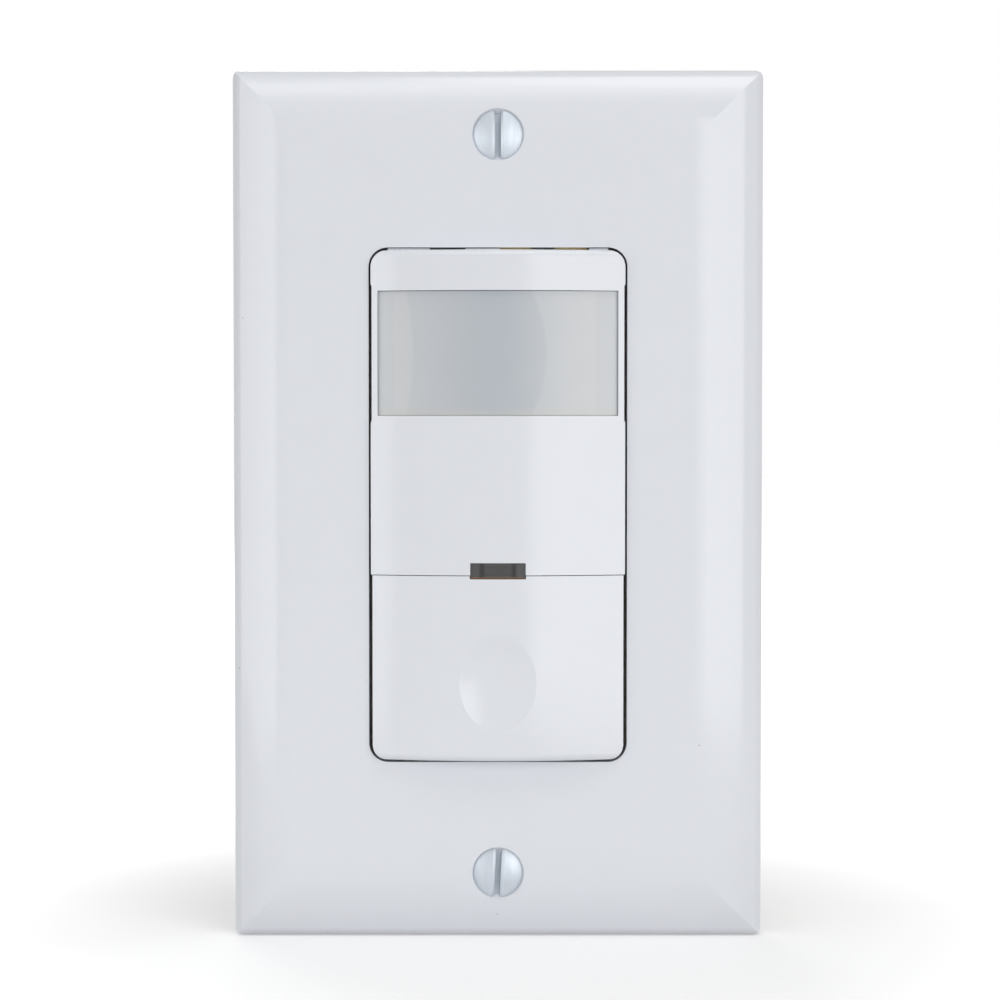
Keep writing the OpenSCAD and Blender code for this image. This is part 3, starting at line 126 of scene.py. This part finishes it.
class Finish(Nodes):
    """A node material in the making. Places are object coordinates, so a pattern moves with its piece."""

    def __init__(self, name):
        self.name = name
        self.material = bpy.data.materials.new(name)
        self.material.use_nodes = True
        super().__init__(self.material.node_tree)
        self.shader = self.tree.nodes["Principled BSDF"]
        self.place = self.node("ShaderNodeTexCoord").outputs["Object"]
        self.normal = None

    def set(self, values):
        for name, value in values.items():
            self.feed(self.shader.inputs[name], value)

    def stretched(self, scale):
        """The place with each axis stretched, for brushed and drawn surfaces."""
        made = self.node("ShaderNodeMapping", inputs={"Vector": self.place, "Scale": scale})
        return made.outputs["Vector"]

    def noise(self, size, detail=3.0, place=None):
        """Soft cloudy values between 0 and 1, with patches of that size in metres."""
        made = self.node("ShaderNodeTexNoise", inputs={
            "Vector": place or self.place,
            "Scale": 1 / size,
            "Detail": detail,
            "Roughness": NOISE_ROUGHNESS,
        })
        return made.outputs["Fac"]

    def uneven(self, noise, low, high):
        """Spreads a noise's values from low to high."""
        return self.span(noise, NOISE_LOW, NOISE_HIGH, low, high)

    def across(self):
        """The place's x and z, for patterns on the face."""
        parts = self.node("ShaderNodeSeparateXYZ", inputs={"Vector": self.place}).outputs
        return parts["X"], parts["Z"]

    def reach(self, x, z):
        """Distance in the plane of the face from the point at x and z."""
        made = self.node("ShaderNodeVectorMath", {"operation": "MULTIPLY"}, {0: self.place, 1: (1, 0, 1)})
        flat = made.outputs["Vector"]
        far = self.node("ShaderNodeVectorMath", {"operation": "DISTANCE"}, {0: flat, 1: (x, 0, z)})
        return far.outputs["Value"]

    def outside(self, half_x, half_z):
        """Distance in the plane of the face outside a rectangle about the origin."""
        squares = []
        for value, half in zip(self.across(), (half_x, half_z)):
            past = self.math("MAXIMUM", self.math("SUBTRACT", self.math("ABSOLUTE", value), half), 0)
            squares.append(self.math("MULTIPLY", past, past))
        return self.math("SQRT", self.total(*squares))

    def blend(self, share, first, second):
        """A colour between two, which may be plain or come from other nodes."""
        made = self.node("ShaderNodeMix", {"data_type": "RGBA"}, {"Factor": share})
        for place, colour in ((MIX_FIRST, first), (MIX_SECOND, second)):
            linked = isinstance(colour, bpy.types.NodeSocket)
            self.feed(made.inputs[place], colour if linked else (*colour, 1))
        return made.outputs[MIX_RESULT]

    def bump(self, height, depth):
        """Adds relief of that depth in metres over what is there already."""
        made = self.node("ShaderNodeBump", inputs={"Height": height, "Distance": depth, "Strength": 1.0})
        if self.normal:
            self.feed(made.inputs["Normal"], self.normal)
        self.normal = made.outputs["Normal"]
        self.set({"Normal": self.normal})

    def specked(self, colour, shade, apart, share):
        """Scatters specks of a shade over a colour. Their radius is a share of the space between them."""
        points = self.node("ShaderNodeTexVoronoi", inputs={"Vector": self.place, "Scale": 1 / apart})
        near = self.span(points.outputs["Distance"], SPECK_CORE * share, share, 1.0, 0.0)
        return self.blend(near, colour, shade)


# Finishes

SPECK_GAP = 6 * MM
SPECK_SHARE = 0.022
PLATING_PATCH = 2.5 * MM
SCRATCH_W = 0.5 * MM
SCRATCH_DETAIL = 4.0
SCRATCH_DEPTH = 0.004 * MM


def plastic(name, dark, light, rough, patch=6 * MM, grain=1.4 * MM, relief=0.003 * MM, specks=None):
    """Moulded plastic: a faint cloudy colour, uneven gloss and the fine relief of its mould."""
    made = Finish(name)
    colour = made.blend(made.noise(patch), dark, light)
    if specks:
        colour = made.specked(colour, specks, SPECK_GAP, SPECK_SHARE)
    made.set({"Base Color": colour, "Roughness": made.uneven(made.noise(patch / 2), *rough)})
    made.bump(made.noise(grain), relief)
    return made


def metal(name, dark, light, rough, stretch=(1, 1, 1)):
    """Plated metal: a cloudy plating colour, drawn scratches and uneven gloss."""
    made = Finish(name)
    drawn = made.noise(SCRATCH_W, SCRATCH_DETAIL, made.stretched(stretch))
    made.set({
        "Base Color": made.blend(made.noise(PLATING_PATCH), dark, light),
        "Metallic": 1.0,
        "Roughness": made.uneven(drawn, *rough),
    })
    made.bump(drawn, SCRATCH_DEPTH)
    return made


def milky_lens(name):
    """Milky lens plate: dark in the middle, where its dark inside shows through, paler to its sides and paler
    still past two wide arcs, which are painted reflections of the soft boxes. It is also darker towards its
    two ends and warmer along its foot.
    """
    low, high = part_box("fresnel_lens")
    middle_z = (low.z + high.z) / 2
    # dark is the middle, where the inside shows through; light is where the painted reflections are full
    dark = (0.495, 0.53, 0.57)
    light = (0.635, 0.645, 0.655)
    warm = (0.6, 0.58, 0.53)
    # Painted reflections of the soft boxes: paler to the sides and past the two arcs
    side_x = 13 * MM
    side_reflection = 0.58
    right_arc_x = -10.4 * MM
    right_arc_r = 16.5 * MM
    right_arc_reflection = 0.27
    left_arc_x = -47.8 * MM
    left_arc_r = 36.5 * MM
    left_arc_reflection = 0.24
    arc_edge = 0.5 * MM
    right_end_x = 12.4 * MM
    left_end_x = -13.2 * MM
    end_edge = 0.6 * MM
    end_pale = -0.14
    cloud_patch = 4 * MM
    cloud_pale = 0.03
    foot_from = 1.2 * MM
    foot_to = 2.6 * MM
    foot_share = 0.5
    gloss_patch = 3 * MM
    grain = 1.2 * MM
    relief = 0.003 * MM
    made = Finish(name)
    x, z = made.across()
    right_far = made.reach(right_arc_x, middle_z)
    left_far = made.reach(left_arc_x, middle_z)
    # Paleness: the painted reflections, darker towards the ends, and a faint random cloud
    pale = made.total(
        made.span(made.math("ABSOLUTE", x), 0, side_x, 0, side_reflection, smooth=True),
        made.span(right_far, right_arc_r, right_arc_r + arc_edge, 0, right_arc_reflection, smooth=True),
        made.span(x, right_end_x, right_end_x + end_edge, 0, end_pale, smooth=True),
        made.span(left_far, left_arc_r, left_arc_r + arc_edge, left_arc_reflection, 0, smooth=True),
        made.span(x, left_end_x - end_edge, left_end_x, end_pale, 0, smooth=True),
        made.uneven(made.noise(cloud_patch), -cloud_pale, cloud_pale))
    foot = made.span(z, low.z + foot_from, low.z + foot_to, foot_share, 0, smooth=True)
    made.set({
        "Base Color": made.blend(foot, made.blend(pale, dark, light), warm),
        "Roughness": made.uneven(made.noise(gloss_patch), 0.2, 0.27),
        "Subsurface Weight": 0.15,
        "Subsurface Radius": (0.8, 0.8, 0.8),
        "Subsurface Scale": 1 * MM,
    })
    made.bump(made.noise(grain), relief)
    return made


def smoked_window(name):
    """Smoked plastic over a hollow, with painted shade at the hollow's two ends, and warm along the lower
    edge.
    """
    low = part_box("indicator_window")[0]
    dark = (0.056, 0.058, 0.056)
    light = (0.08, 0.081, 0.078)
    # Painted shade at the hollow's two ends
    painted_end_shade = (0.03, 0.032, 0.031)
    warm = (0.34, 0.15, 0.05)
    end_from = 1.5 * MM
    end_full = 2.1 * MM
    end_fades = 2.2 * MM
    end_to = 2.6 * MM
    foot_from = 0.06 * MM
    foot_to = 0.16 * MM
    foot_share = 0.8
    patch = 1.5 * MM
    gloss_patch = 0.8 * MM
    grain = 0.5 * MM
    relief = 0.004 * MM
    made = Finish(name)
    x, z = made.across()
    # Where the painted shade at the hollow's two ends lies
    out = made.math("ABSOLUTE", x)
    rising = made.span(out, end_from, end_full, 0, 1, smooth=True)
    falling = made.span(out, end_fades, end_to, 1, 0, smooth=True)
    ends = made.math("MULTIPLY", rising, falling)
    body = made.blend(made.noise(patch), dark, light)
    foot = made.span(z, low.z + foot_from, low.z + foot_to, foot_share, 0, smooth=True)
    made.set({
        "Base Color": made.blend(foot, made.blend(ends, body, painted_end_shade), warm),
        "Roughness": made.uneven(made.noise(gloss_patch), 0.1, 0.2),
    })
    made.bump(made.noise(grain), relief)
    return made


def white_gloss(name):
    """Glossy white plastic with a few grey specks."""
    dark = (0.765, 0.785, 0.83)
    light = (0.785, 0.805, 0.85)
    return plastic(name, dark, light, (0.09, 0.13), specks=(0.42, 0.43, 0.46))


def crowned_gloss(name):
    """The plate's gloss, with a faint crown over the seam between its flat field and its curved border."""
    plate_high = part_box("wall_plate")[1]
    inside = 9.4 * MM
    crown_w = 5 * MM
    crown_h = 0.15 * MM
    made = white_gloss(name)
    past = made.outside(plate_high.x - inside, plate_high.z - inside)
    made.bump(made.span(past, 0, crown_w, 1, 0, smooth=True), crown_h)
    return made


FINISHES = {made.name: made for made in (
    white_gloss("white_gloss"),
    plastic("white_satin", (0.74, 0.74, 0.73), (0.78, 0.78, 0.77), (0.35, 0.45)),
    milky_lens("lens_grey"),
    smoked_window("smoked"),
    metal("zinc_steel", (0.475, 0.51, 0.555), (0.535, 0.575, 0.62), (0.45, 0.58), stretch=(1, 1, 0.12)),
    # Darker steel for the inside of the screws' slots: painted shade
    metal("slot_painted_shade_steel", (0.36, 0.4, 0.45), (0.48, 0.52, 0.57), (0.5, 0.65), stretch=(1, 1, 6)),
    metal("yellow_zinc", (0.68, 0.5, 0.16), (0.8, 0.66, 0.34), (0.25, 0.42), stretch=(1, 1, 8)),
    plastic("fibre", (0.3, 0.18, 0.09), (0.42, 0.27, 0.15), (0.65, 0.8),
            patch=1.5 * MM, grain=0.3 * MM, relief=0.02 * MM),
    metal("earth_green", (0.04, 0.28, 0.1), (0.07, 0.4, 0.16), (0.25, 0.4)),
    plastic("black_plastic", (0.018, 0.018, 0.02), (0.028, 0.028, 0.03), (0.42, 0.55),
            patch=8 * MM, grain=0.35 * MM, relief=0.012 * MM),
    plastic("board_green", (0.02, 0.16, 0.07), (0.03, 0.22, 0.1), (0.25, 0.35)),
    plastic("blue_plastic", (0.03, 0.12, 0.42), (0.04, 0.15, 0.5), (0.3, 0.4)),
    metal("brass", (0.72, 0.52, 0.2), (0.82, 0.62, 0.3), (0.2, 0.34), stretch=(1, 6, 1)),
    metal("nickel", (0.64, 0.63, 0.6), (0.74, 0.73, 0.7), (0.2, 0.34), stretch=(1, 6, 1)),
    metal("copper", (0.5, 0.2, 0.08), (0.66, 0.3, 0.14), (0.25, 0.4)),
    plastic("ferrite", (0.04, 0.04, 0.044), (0.06, 0.06, 0.066), (0.6, 0.75),
            patch=2 * MM, grain=0.25 * MM, relief=0.02 * MM),
    plastic("film_yellow", (0.68, 0.48, 0.04), (0.76, 0.56, 0.06), (0.25, 0.35)),
    plastic("sleeve_blue", (0.014, 0.02, 0.11), (0.02, 0.03, 0.15), (0.2, 0.3)),
    plastic("fuse_body", (0.52, 0.38, 0.22), (0.6, 0.45, 0.28), (0.5, 0.65)),
    plastic("lamp_red", (0.6, 0.06, 0.03), (0.72, 0.1, 0.05), (0.1, 0.16)),
    plastic("sensor_clear", (0.7, 0.75, 0.8), (0.76, 0.81, 0.86), (0.06, 0.12)),
    plastic("filter_dark", (0.02, 0.028, 0.036), (0.03, 0.04, 0.05), (0.06, 0.12)),
)}


def dress_nodes():
    """Gives each CAD node the finish of its material slot, and the plate its own crowned one."""
    for part in frame["record"]["subparts"]:
        piece = nodes[part["node"]]
        piece.data.materials.clear()
        piece.data.materials.append(FINISHES[part["material_slot"]].material)
    nodes["wall_plate"].data.materials[0] = crowned_gloss("plate_gloss").material


# Shells of points and faces

# Points round a turned shell
ROUND = 48
# Faces that meet at more than this keep a sharp edge
SHARP = math.radians(28)


def ring(shell, radius, y):
    """A ring of points about the Y axis, or one point on it."""
    if radius == 0:
        return [shell.verts.new((0, y, 0))]
    angles = [2 * math.pi * i / ROUND for i in range(ROUND)]
    return [shell.verts.new((radius * math.cos(a), y, radius * math.sin(a))) for a in angles]


def add_face(shell, corners):
    """A face on the corners that differ, if they are enough for one."""
    apart = list(dict.fromkeys(corners))
    if len(apart) > 2:
        shell.faces.new(apart)


def bridge(shell, rings):
    """Faces between each ring and the next one."""
    for near, far in zip(rings, rings[1:]):
        for i in range(ROUND):
            j = (i + 1) % ROUND
            add_face(shell, [near[i % len(near)], near[j % len(near)], far[j % len(far)], far[i % len(far)]])


def turned(profile):
    """A shell turned from (radius, y) points about the Y axis."""
    shell = bmesh.new()
    bridge(shell, [ring(shell, radius, y) for radius, y in profile])
    return shell


def skin(shell, loops):
    """Faces between each loop of points and the next one, and a lid on the first and the last."""
    for near, far in zip(loops, loops[1:]):
        for i in range(len(near)):
            shell.faces.new([near[i - 1], near[i], far[i], far[i - 1]])
    shell.faces.new(loops[0])
    shell.faces.new(loops[-1])


def mesh_object(name, shell, sharp=SHARP):
    """An object from a shell, with smooth faces that meet at sharp edges."""
    bmesh.ops.recalc_face_normals(shell, faces=shell.faces)
    mesh = bpy.data.meshes.new(name)
    shell.to_mesh(mesh)
    shell.free()
    mesh.shade_smooth()
    mesh.set_sharp_from_angle(angle=sharp)
    made = bpy.data.objects.new(name, mesh)
    scene.collection.objects.link(made)
    return made


# Screws with cut threads and slotted heads

PITCH = 0.794 * MM
THREAD_R = 1.75 * MM
ROOT_R = 1.32 * MM
TIP = 0.7 * MM
# Corners of the thread along one pitch: share of the pitch, and share of the thread's height
THREAD_CORNERS = ((0, 0), (0.25, 0), (0.56, 1), (0.69, 1))
SLOT_STEPS = 16
# How far a slot's cutter runs from the middle of the head, as a share of the head's radius
SLOT_REACH = 1.2
# Depth of a slot's chamfers as a share of their width
CHAMFER_FALL = 0.49
# Width of the rounding on sharp edges
EDGE = 0.05 * MM
EDGE_STEPS = 2
# Points of a rounded edge that are closer than this become one
EDGE_JOIN = EDGE / 50


def add_thread(shell, start_y, end_y):
    """A closed rod with one helical thread that fades in and out over a pitch, and a conical tip."""
    last_y = end_y - TIP
    start = ring(shell, ROOT_R, start_y)
    end = ring(shell, ROOT_R, last_y)
    known = {}

    def corner(column, row):
        turn, place = divmod(row, len(THREAD_CORNERS))
        along, rise = THREAD_CORNERS[place]
        y = start_y + PITCH * (turn + along + column / ROUND - 1)
        if y <= start_y:
            return start[column]
        if y >= last_y:
            return end[column]
        if (column, row) not in known:
            fade = min(1, (y - start_y) / PITCH, (last_y - y) / PITCH)
            radius = ROOT_R + (THREAD_R - ROOT_R) * rise * fade
            angle = 2 * math.pi * column / ROUND
            known[column, row] = shell.verts.new((radius * math.cos(angle), y, radius * math.sin(angle)))
        return known[column, row]

    rows = len(THREAD_CORNERS) * (math.ceil((last_y - start_y) / PITCH) + 1)
    for i in range(ROUND):
        j = (i + 1) % ROUND
        lead = 0 if j else len(THREAD_CORNERS)
        for row in range(rows):
            after = row + lead
            add_face(shell, [corner(i, row), corner(j, after), corner(j, after + 1), corner(i, row + 1)])
    bridge(shell, [ring(shell, 0, start_y), start])
    bridge(shell, [end, ring(shell, ROOT_R - TIP / 2, end_y), ring(shell, 0, end_y)])


def slot_cutter(crest, width, chamfer, floor_y, head_r):
    """A bar along Z that cuts a slot, with chamfers that follow the crest of the head."""
    half = width / 2
    wide = half + 2 * chamfer
    fall = CHAMFER_FALL * chamfer
    bar = bmesh.new()
    sections = []
    for i in range(SLOT_STEPS + 1):
        z = SLOT_REACH * head_r * (2 * i / SLOT_STEPS - 1)
        low = min(crest(z) + fall, floor_y - 2 * EDGE)
        high = low - 2 * fall
        outline = [(-wide, high), (wide, high), (half, low), (half, floor_y), (-half, floor_y), (-half, low)]
        sections.append([bar.verts.new((x, y, z)) for x, y in outline])
    skin(bar, sections)
    return mesh_object("slot_cutter", bar)


def slotted(shell, crest, width, chamfer, floor_y, head_r):
    """Cuts a slot along Z into a head, rounds sharp edges and gives the slot's inside the second finish, a
    darker steel for painted shade.
    """
    head = mesh_object("slot_head", shell)
    cutter = slot_cutter(crest, width, chamfer, floor_y, head_r)
    cut = head.modifiers.new("slot", "BOOLEAN")
    cut.object = cutter
    cut.solver = "EXACT"
    done = bmesh.new()
    done.from_object(head, bpy.context.evaluated_depsgraph_get())
    for used in (head, cutter):
        mesh = used.data
        bpy.data.objects.remove(used)
        bpy.data.meshes.remove(mesh)
    sharp = [edge for edge in done.edges if edge.is_manifold and edge.calc_face_angle() > SHARP]
    bmesh.ops.bevel(done, geom=sharp, offset=EDGE, offset_type="OFFSET", segments=EDGE_STEPS, profile=0.5,
                    affect="EDGES", clamp_overlap=True)
    bmesh.ops.remove_doubles(done, verts=done.verts, dist=EDGE_JOIN)
    for face in done.faces:
        middle = face.calc_center_median()
        wall_y = crest(middle.z) + CHAMFER_FALL * chamfer
        deep = wall_y - EDGE / 2 < middle.y < floor_y + EDGE / 2
        # The slot's inside takes the second finish, painted shade
        face.material_index = int(deep and abs(middle.x) < width / 2 + EDGE / 2)
    return done


def place_screws(name, node, shell, places):
    """Sets a screw's shell at each of its places, as the piece that stands for its solids."""
    single = bpy.data.meshes.new(name)
    shell.to_mesh(single)
    shell.free()
    joined = bmesh.new()
    for where, turn in places:
        moved = single.copy()
        moved.transform(Matrix.Translation(where) @ Matrix.Rotation(turn, 4, "Y"))
        joined.from_mesh(moved)
        bpy.data.meshes.remove(moved)
    bpy.data.meshes.remove(single)
    piece = mesh_object(name, joined)
    piece.data.materials.append(FINISHES["zinc_steel"].material)
    # Second finish: painted shade inside the slots
    piece.data.materials.append(FINISHES["slot_painted_shade_steel"].material)
    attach(piece, "root")
    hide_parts(node)


def make_plate_screws():
    """Oval heads: a shallow dome over a countersunk cone. The lower slot leans a little."""
    low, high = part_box("wall_plate_screws")
    head_r = 3.3 * MM
    rise = 0.75 * MM
    dome_r = (head_r ** 2 + rise ** 2) / (2 * rise)
    dome_steps = 8
    cone = math.tan(math.radians(41))
    neck_y = rise + (head_r - ROOT_R) / cone
    neck_end = neck_y + PITCH / 2
    lean = math.radians(3)

    def crest(out):
        return dome_r - math.sqrt(dome_r ** 2 - out ** 2)

    radii = [head_r * i / dome_steps for i in range(dome_steps + 1)]
    profile = [(radius, crest(radius)) for radius in radii]
    profile += [(ROOT_R, neck_y), (ROOT_R, neck_end), (0, neck_end)]
    shell = slotted(turned(profile), crest, width=0.75 * MM, chamfer=0.4 * MM, floor_y=1.25 * MM,
                    head_r=head_r)
    add_thread(shell, neck_y, high.y - low.y)
    up = high.z - head_r
    place_screws("plate_screws", "wall_plate_screws", shell, [
        (Vector((0, low.y, up)), 0), (Vector((0, low.y, -up)), lean)])


def make_box_screws():
    """Pan heads on a thin neck that runs through the strap and the washer."""
    low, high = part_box("box_screws")
    head_r = 3.5 * MM
    head_h = 1.8 * MM
    crown = 0.9 * MM
    crown_steps = 6
    neck_r = 1.45 * MM
    neck_l = 2.5 * MM
    neck_end = head_h + neck_l
    profile = [(0, 0)]
    for i in range(crown_steps + 1):
        angle = math.pi / 2 * i / crown_steps
        profile.append((head_r - crown * (1 - math.sin(angle)), crown * (1 - math.cos(angle))))
    profile += [(head_r, head_h), (neck_r, head_h), (neck_r, neck_end), (0, neck_end)]
    shell = slotted(turned(profile), lambda out: 0, width=1 * MM, chamfer=0.15 * MM, floor_y=head_h / 2,
                    head_r=head_r)
    add_thread(shell, neck_end - PITCH / 2, high.y - low.y)
    up = high.z - head_r
    place_screws("wall_box_screws", "box_screws", shell, [
        (Vector((0, low.y, side * up)), math.pi / 2) for side in (1, -1)])


# Wound wire of the relay and the choke

WIRE_SIDES = 8
WIRE_STEPS = 36
# Share of the wire's thickness that shows above its seat
WIRE_PROUD = 0.9
WIRE_SHARP = math.radians(60)


def add_wire(shell, radius, wire, start_y, end_y):
    """A wire wound about the Y axis, turn beside turn."""
    turns = int((end_y - start_y) / wire) - 1
    loops = []
    for i in range(turns * WIRE_STEPS + 1):
        angle = 2 * math.pi * i / WIRE_STEPS
        middle_y = start_y + wire * (i / WIRE_STEPS + 0.5)
        loop = []
        for j in range(WIRE_SIDES):
            side = 2 * math.pi * j / WIRE_SIDES
            out = radius + wire / 2 * math.cos(side)
            y = middle_y + wire / 2 * math.sin(side)
            loop.append(shell.verts.new((out * math.cos(angle), y, out * math.sin(angle))))
        loops.append(loop)
    skin(shell, loops)


def wind(name, node, wire, bore, coil_r, rim, former):
    """Stands for a wound node: a hollow former, with rims if they have a width, and one layer of wire."""
    low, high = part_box(node)
    length = high.y - low.y
    rim_r = (high.x - low.x) / 2
    seat = coil_r - WIRE_PROUD * wire
    profile = [(bore, 0), (seat, 0), (seat, length), (bore, length)]
    if rim:
        profile = [(bore, 0), (rim_r, 0), (rim_r, rim), (seat, rim), (seat, length - rim),
                   (rim_r, length - rim), (rim_r, length), (bore, length)]
    shell = bmesh.new()
    rings = [ring(shell, radius, y) for radius, y in profile]
    bridge(shell, rings + rings[:1])
    for face in shell.faces:
        face.material_index = 1
    add_wire(shell, coil_r - wire / 2, wire, rim, length - rim)
    bmesh.ops.translate(shell, verts=shell.verts, vec=((low.x + high.x) / 2, low.y, (low.z + high.z) / 2))
    piece = mesh_object(name, shell, WIRE_SHARP)
    piece.data.materials.append(FINISHES["copper"].material)
    piece.data.materials.append(FINISHES[former].material)
    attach(piece, "root")
    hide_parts(node)


# Floor, world, lamps and camera

FLOOR_HALF = 2.5
FLOOR_FRONT = -0.14
FLOOR_PATCH = 0.2
# Distances from the object's middle between which the floor rises to white, out of a painted shade about the
# object
FLOOR_NEAR = 0.06
FLOOR_FAR = 0.15
# What is added to the floor as the camera sees it, near and far, and as a gloss mirrors it. Less is added
# near the object, which paints a shade about it.
PAINTED_SHADE_NEAR_LIFT = 0.29
FAR_LIFT = 0.85
FLOOR_MIRRORED = 0.5

# The world's strength in soft light, and in a gloss that mirrors it below and above the horizon
WORLD_FILL = 0.345
WORLD_BELOW = 1.15
WORLD_ABOVE = 0.75
# Height on the unit ball within which the mirrored world changes
WORLD_TURN = 0.3

CAMERA_PLACE = (0.267 * MM, -349.8 * MM, 11.83 * MM)
CAMERA_DOWN = math.radians(1.85)
CAMERA_LENS = 94.67
CAMERA_SENSOR = 36
CAMERA_CLIP = 0.01


def make_floor():
    """A pale floor under the object. The camera sees it lifted to white, but less so near the object, which
    paints a shade about it, and shadows still show.
    """
    floor_z = cad_box[0].z
    mesh = bpy.data.meshes.new("floor")
    corners = [
        (-FLOOR_HALF, FLOOR_FRONT, floor_z),
        (FLOOR_HALF, FLOOR_FRONT, floor_z),
        (FLOOR_HALF, FLOOR_HALF, floor_z),
        (-FLOOR_HALF, FLOOR_HALF, floor_z),
    ]
    mesh.from_pydata(corners, [], [range(len(corners))])
    floor = bpy.data.objects.new("floor", mesh)
    scene.collection.objects.link(floor)
    made = Finish("floor")
    path = made.node("ShaderNodeLightPath").outputs
    away = made.node("ShaderNodeVectorMath", {"operation": "LENGTH"}, {0: made.place}).outputs["Value"]
    # Less near the object: a painted shade about it
    lift = made.span(away, FLOOR_NEAR, FLOOR_FAR, PAINTED_SHADE_NEAR_LIFT, FAR_LIFT, smooth=True)
    seen = made.math("MULTIPLY", path["Is Camera Ray"], lift)
    mirrored = made.math("MULTIPLY", path["Is Glossy Ray"], FLOOR_MIRRORED)
    made.set({
        "Base Color": made.blend(made.noise(FLOOR_PATCH), (0.8, 0.8, 0.8), (0.82, 0.82, 0.82)),
        "Roughness": 0.9,
        "Specular IOR Level": 0.1,
        "Emission Color": (1, 1, 1, 1),
        "Emission Strength": made.total(seen, mirrored),
    })
    mesh.materials.append(made.material)


def make_world():
    """White to the eye, paler below than above in reflections, and a softer fill for everything else."""
    world = bpy.data.worlds.new("studio")
    world.use_nodes = True
    scene.world = world
    made = Nodes(world.node_tree)
    path = made.node("ShaderNodeLightPath").outputs
    fill = made.span(path["Is Camera Ray"], 0, 1, WORLD_FILL, 1)
    way = made.node("ShaderNodeTexCoord").outputs["Generated"]
    up = made.node("ShaderNodeSeparateXYZ", inputs={"Vector": way}).outputs["Z"]
    mirrored = made.span(up, -WORLD_TURN, WORLD_TURN, WORLD_BELOW, WORLD_ABOVE)
    strength = made.node("ShaderNodeMix", inputs={"Factor": path["Is Glossy Ray"], "A": fill, "B": mirrored})
    background = made.tree.nodes["Background"].inputs
    made.feed(background["Color"], (1, 1, 1, 1))
    made.feed(background["Strength"], strength.outputs["Result"])


def make_lamp(name, place, size, power, fades=None):
    """A rectangular soft box, turned to the object's middle. It may fade in along one of its axes."""
    data = bpy.data.lights.new(name, "AREA")
    data.shape = "RECTANGLE"
    data.size = size[0]
    data.size_y = size[1]
    data.energy = power
    lamp = bpy.data.objects.new(name, data)
    lamp.location = place
    lamp.rotation_mode = "QUATERNION"
    lamp.rotation_quaternion = Vector(place).to_track_quat("Z", "Y")
    scene.collection.objects.link(lamp)
    if fades:
        axis, share = fades
        data.use_nodes = True
        made = Nodes(data.node_tree)
        spot = made.node("ShaderNodeNewGeometry").outputs["Parametric"]
        along = made.node("ShaderNodeSeparateXYZ", inputs={"Vector": spot}).outputs[axis]
        strength = made.span(along, 0, share, 0, 1, smooth=True)
        made.feed(made.tree.nodes["Emission"].inputs["Strength"], strength)


def make_camera():
    data = bpy.data.cameras.new("camera")
    data.lens = CAMERA_LENS
    data.sensor_width = CAMERA_SENSOR
    data.clip_start = CAMERA_CLIP
    camera = bpy.data.objects.new("camera", data)
    camera.location = CAMERA_PLACE
    camera.rotation_euler = (math.pi / 2 - CAMERA_DOWN, 0, 0)
    scene.collection.objects.link(camera)
    scene.camera = camera


dress_nodes()
make_plate_screws()
make_box_screws()
wind("relay_winding", "relay_coil", wire=0.25 * MM, bore=1.55 * MM, coil_r=3.5 * MM, rim=1 * MM,
     former="black_plastic")
wind("choke_wire", "choke_winding", wire=0.4 * MM, bore=2.05 * MM, coil_r=3.6 * MM, rim=0, former="copper")
make_floor()
make_world()
make_lamp("key", place=(0.4, -0.652, 0.12), size=(0.74, 0.5), power=2.4, fades=("X", 0.12))
make_lamp("left", place=(-0.52, -0.45, 0.1), size=(0.5, 0.45), power=1.1)
make_lamp("top", place=(0.1, -0.38, 0.57), size=(0.5, 0.36), power=1.3, fades=("Y", 0.8))
make_lamp("over", place=(0.12, -0.1, 0.6), size=(0.4, 0.2), power=0.3)
make_lamp("back", place=(-0.3, 0.8, 0.5), size=(0.6, 0.6), power=2.6)
make_camera()

scene.view_settings.view_transform = "Standard"
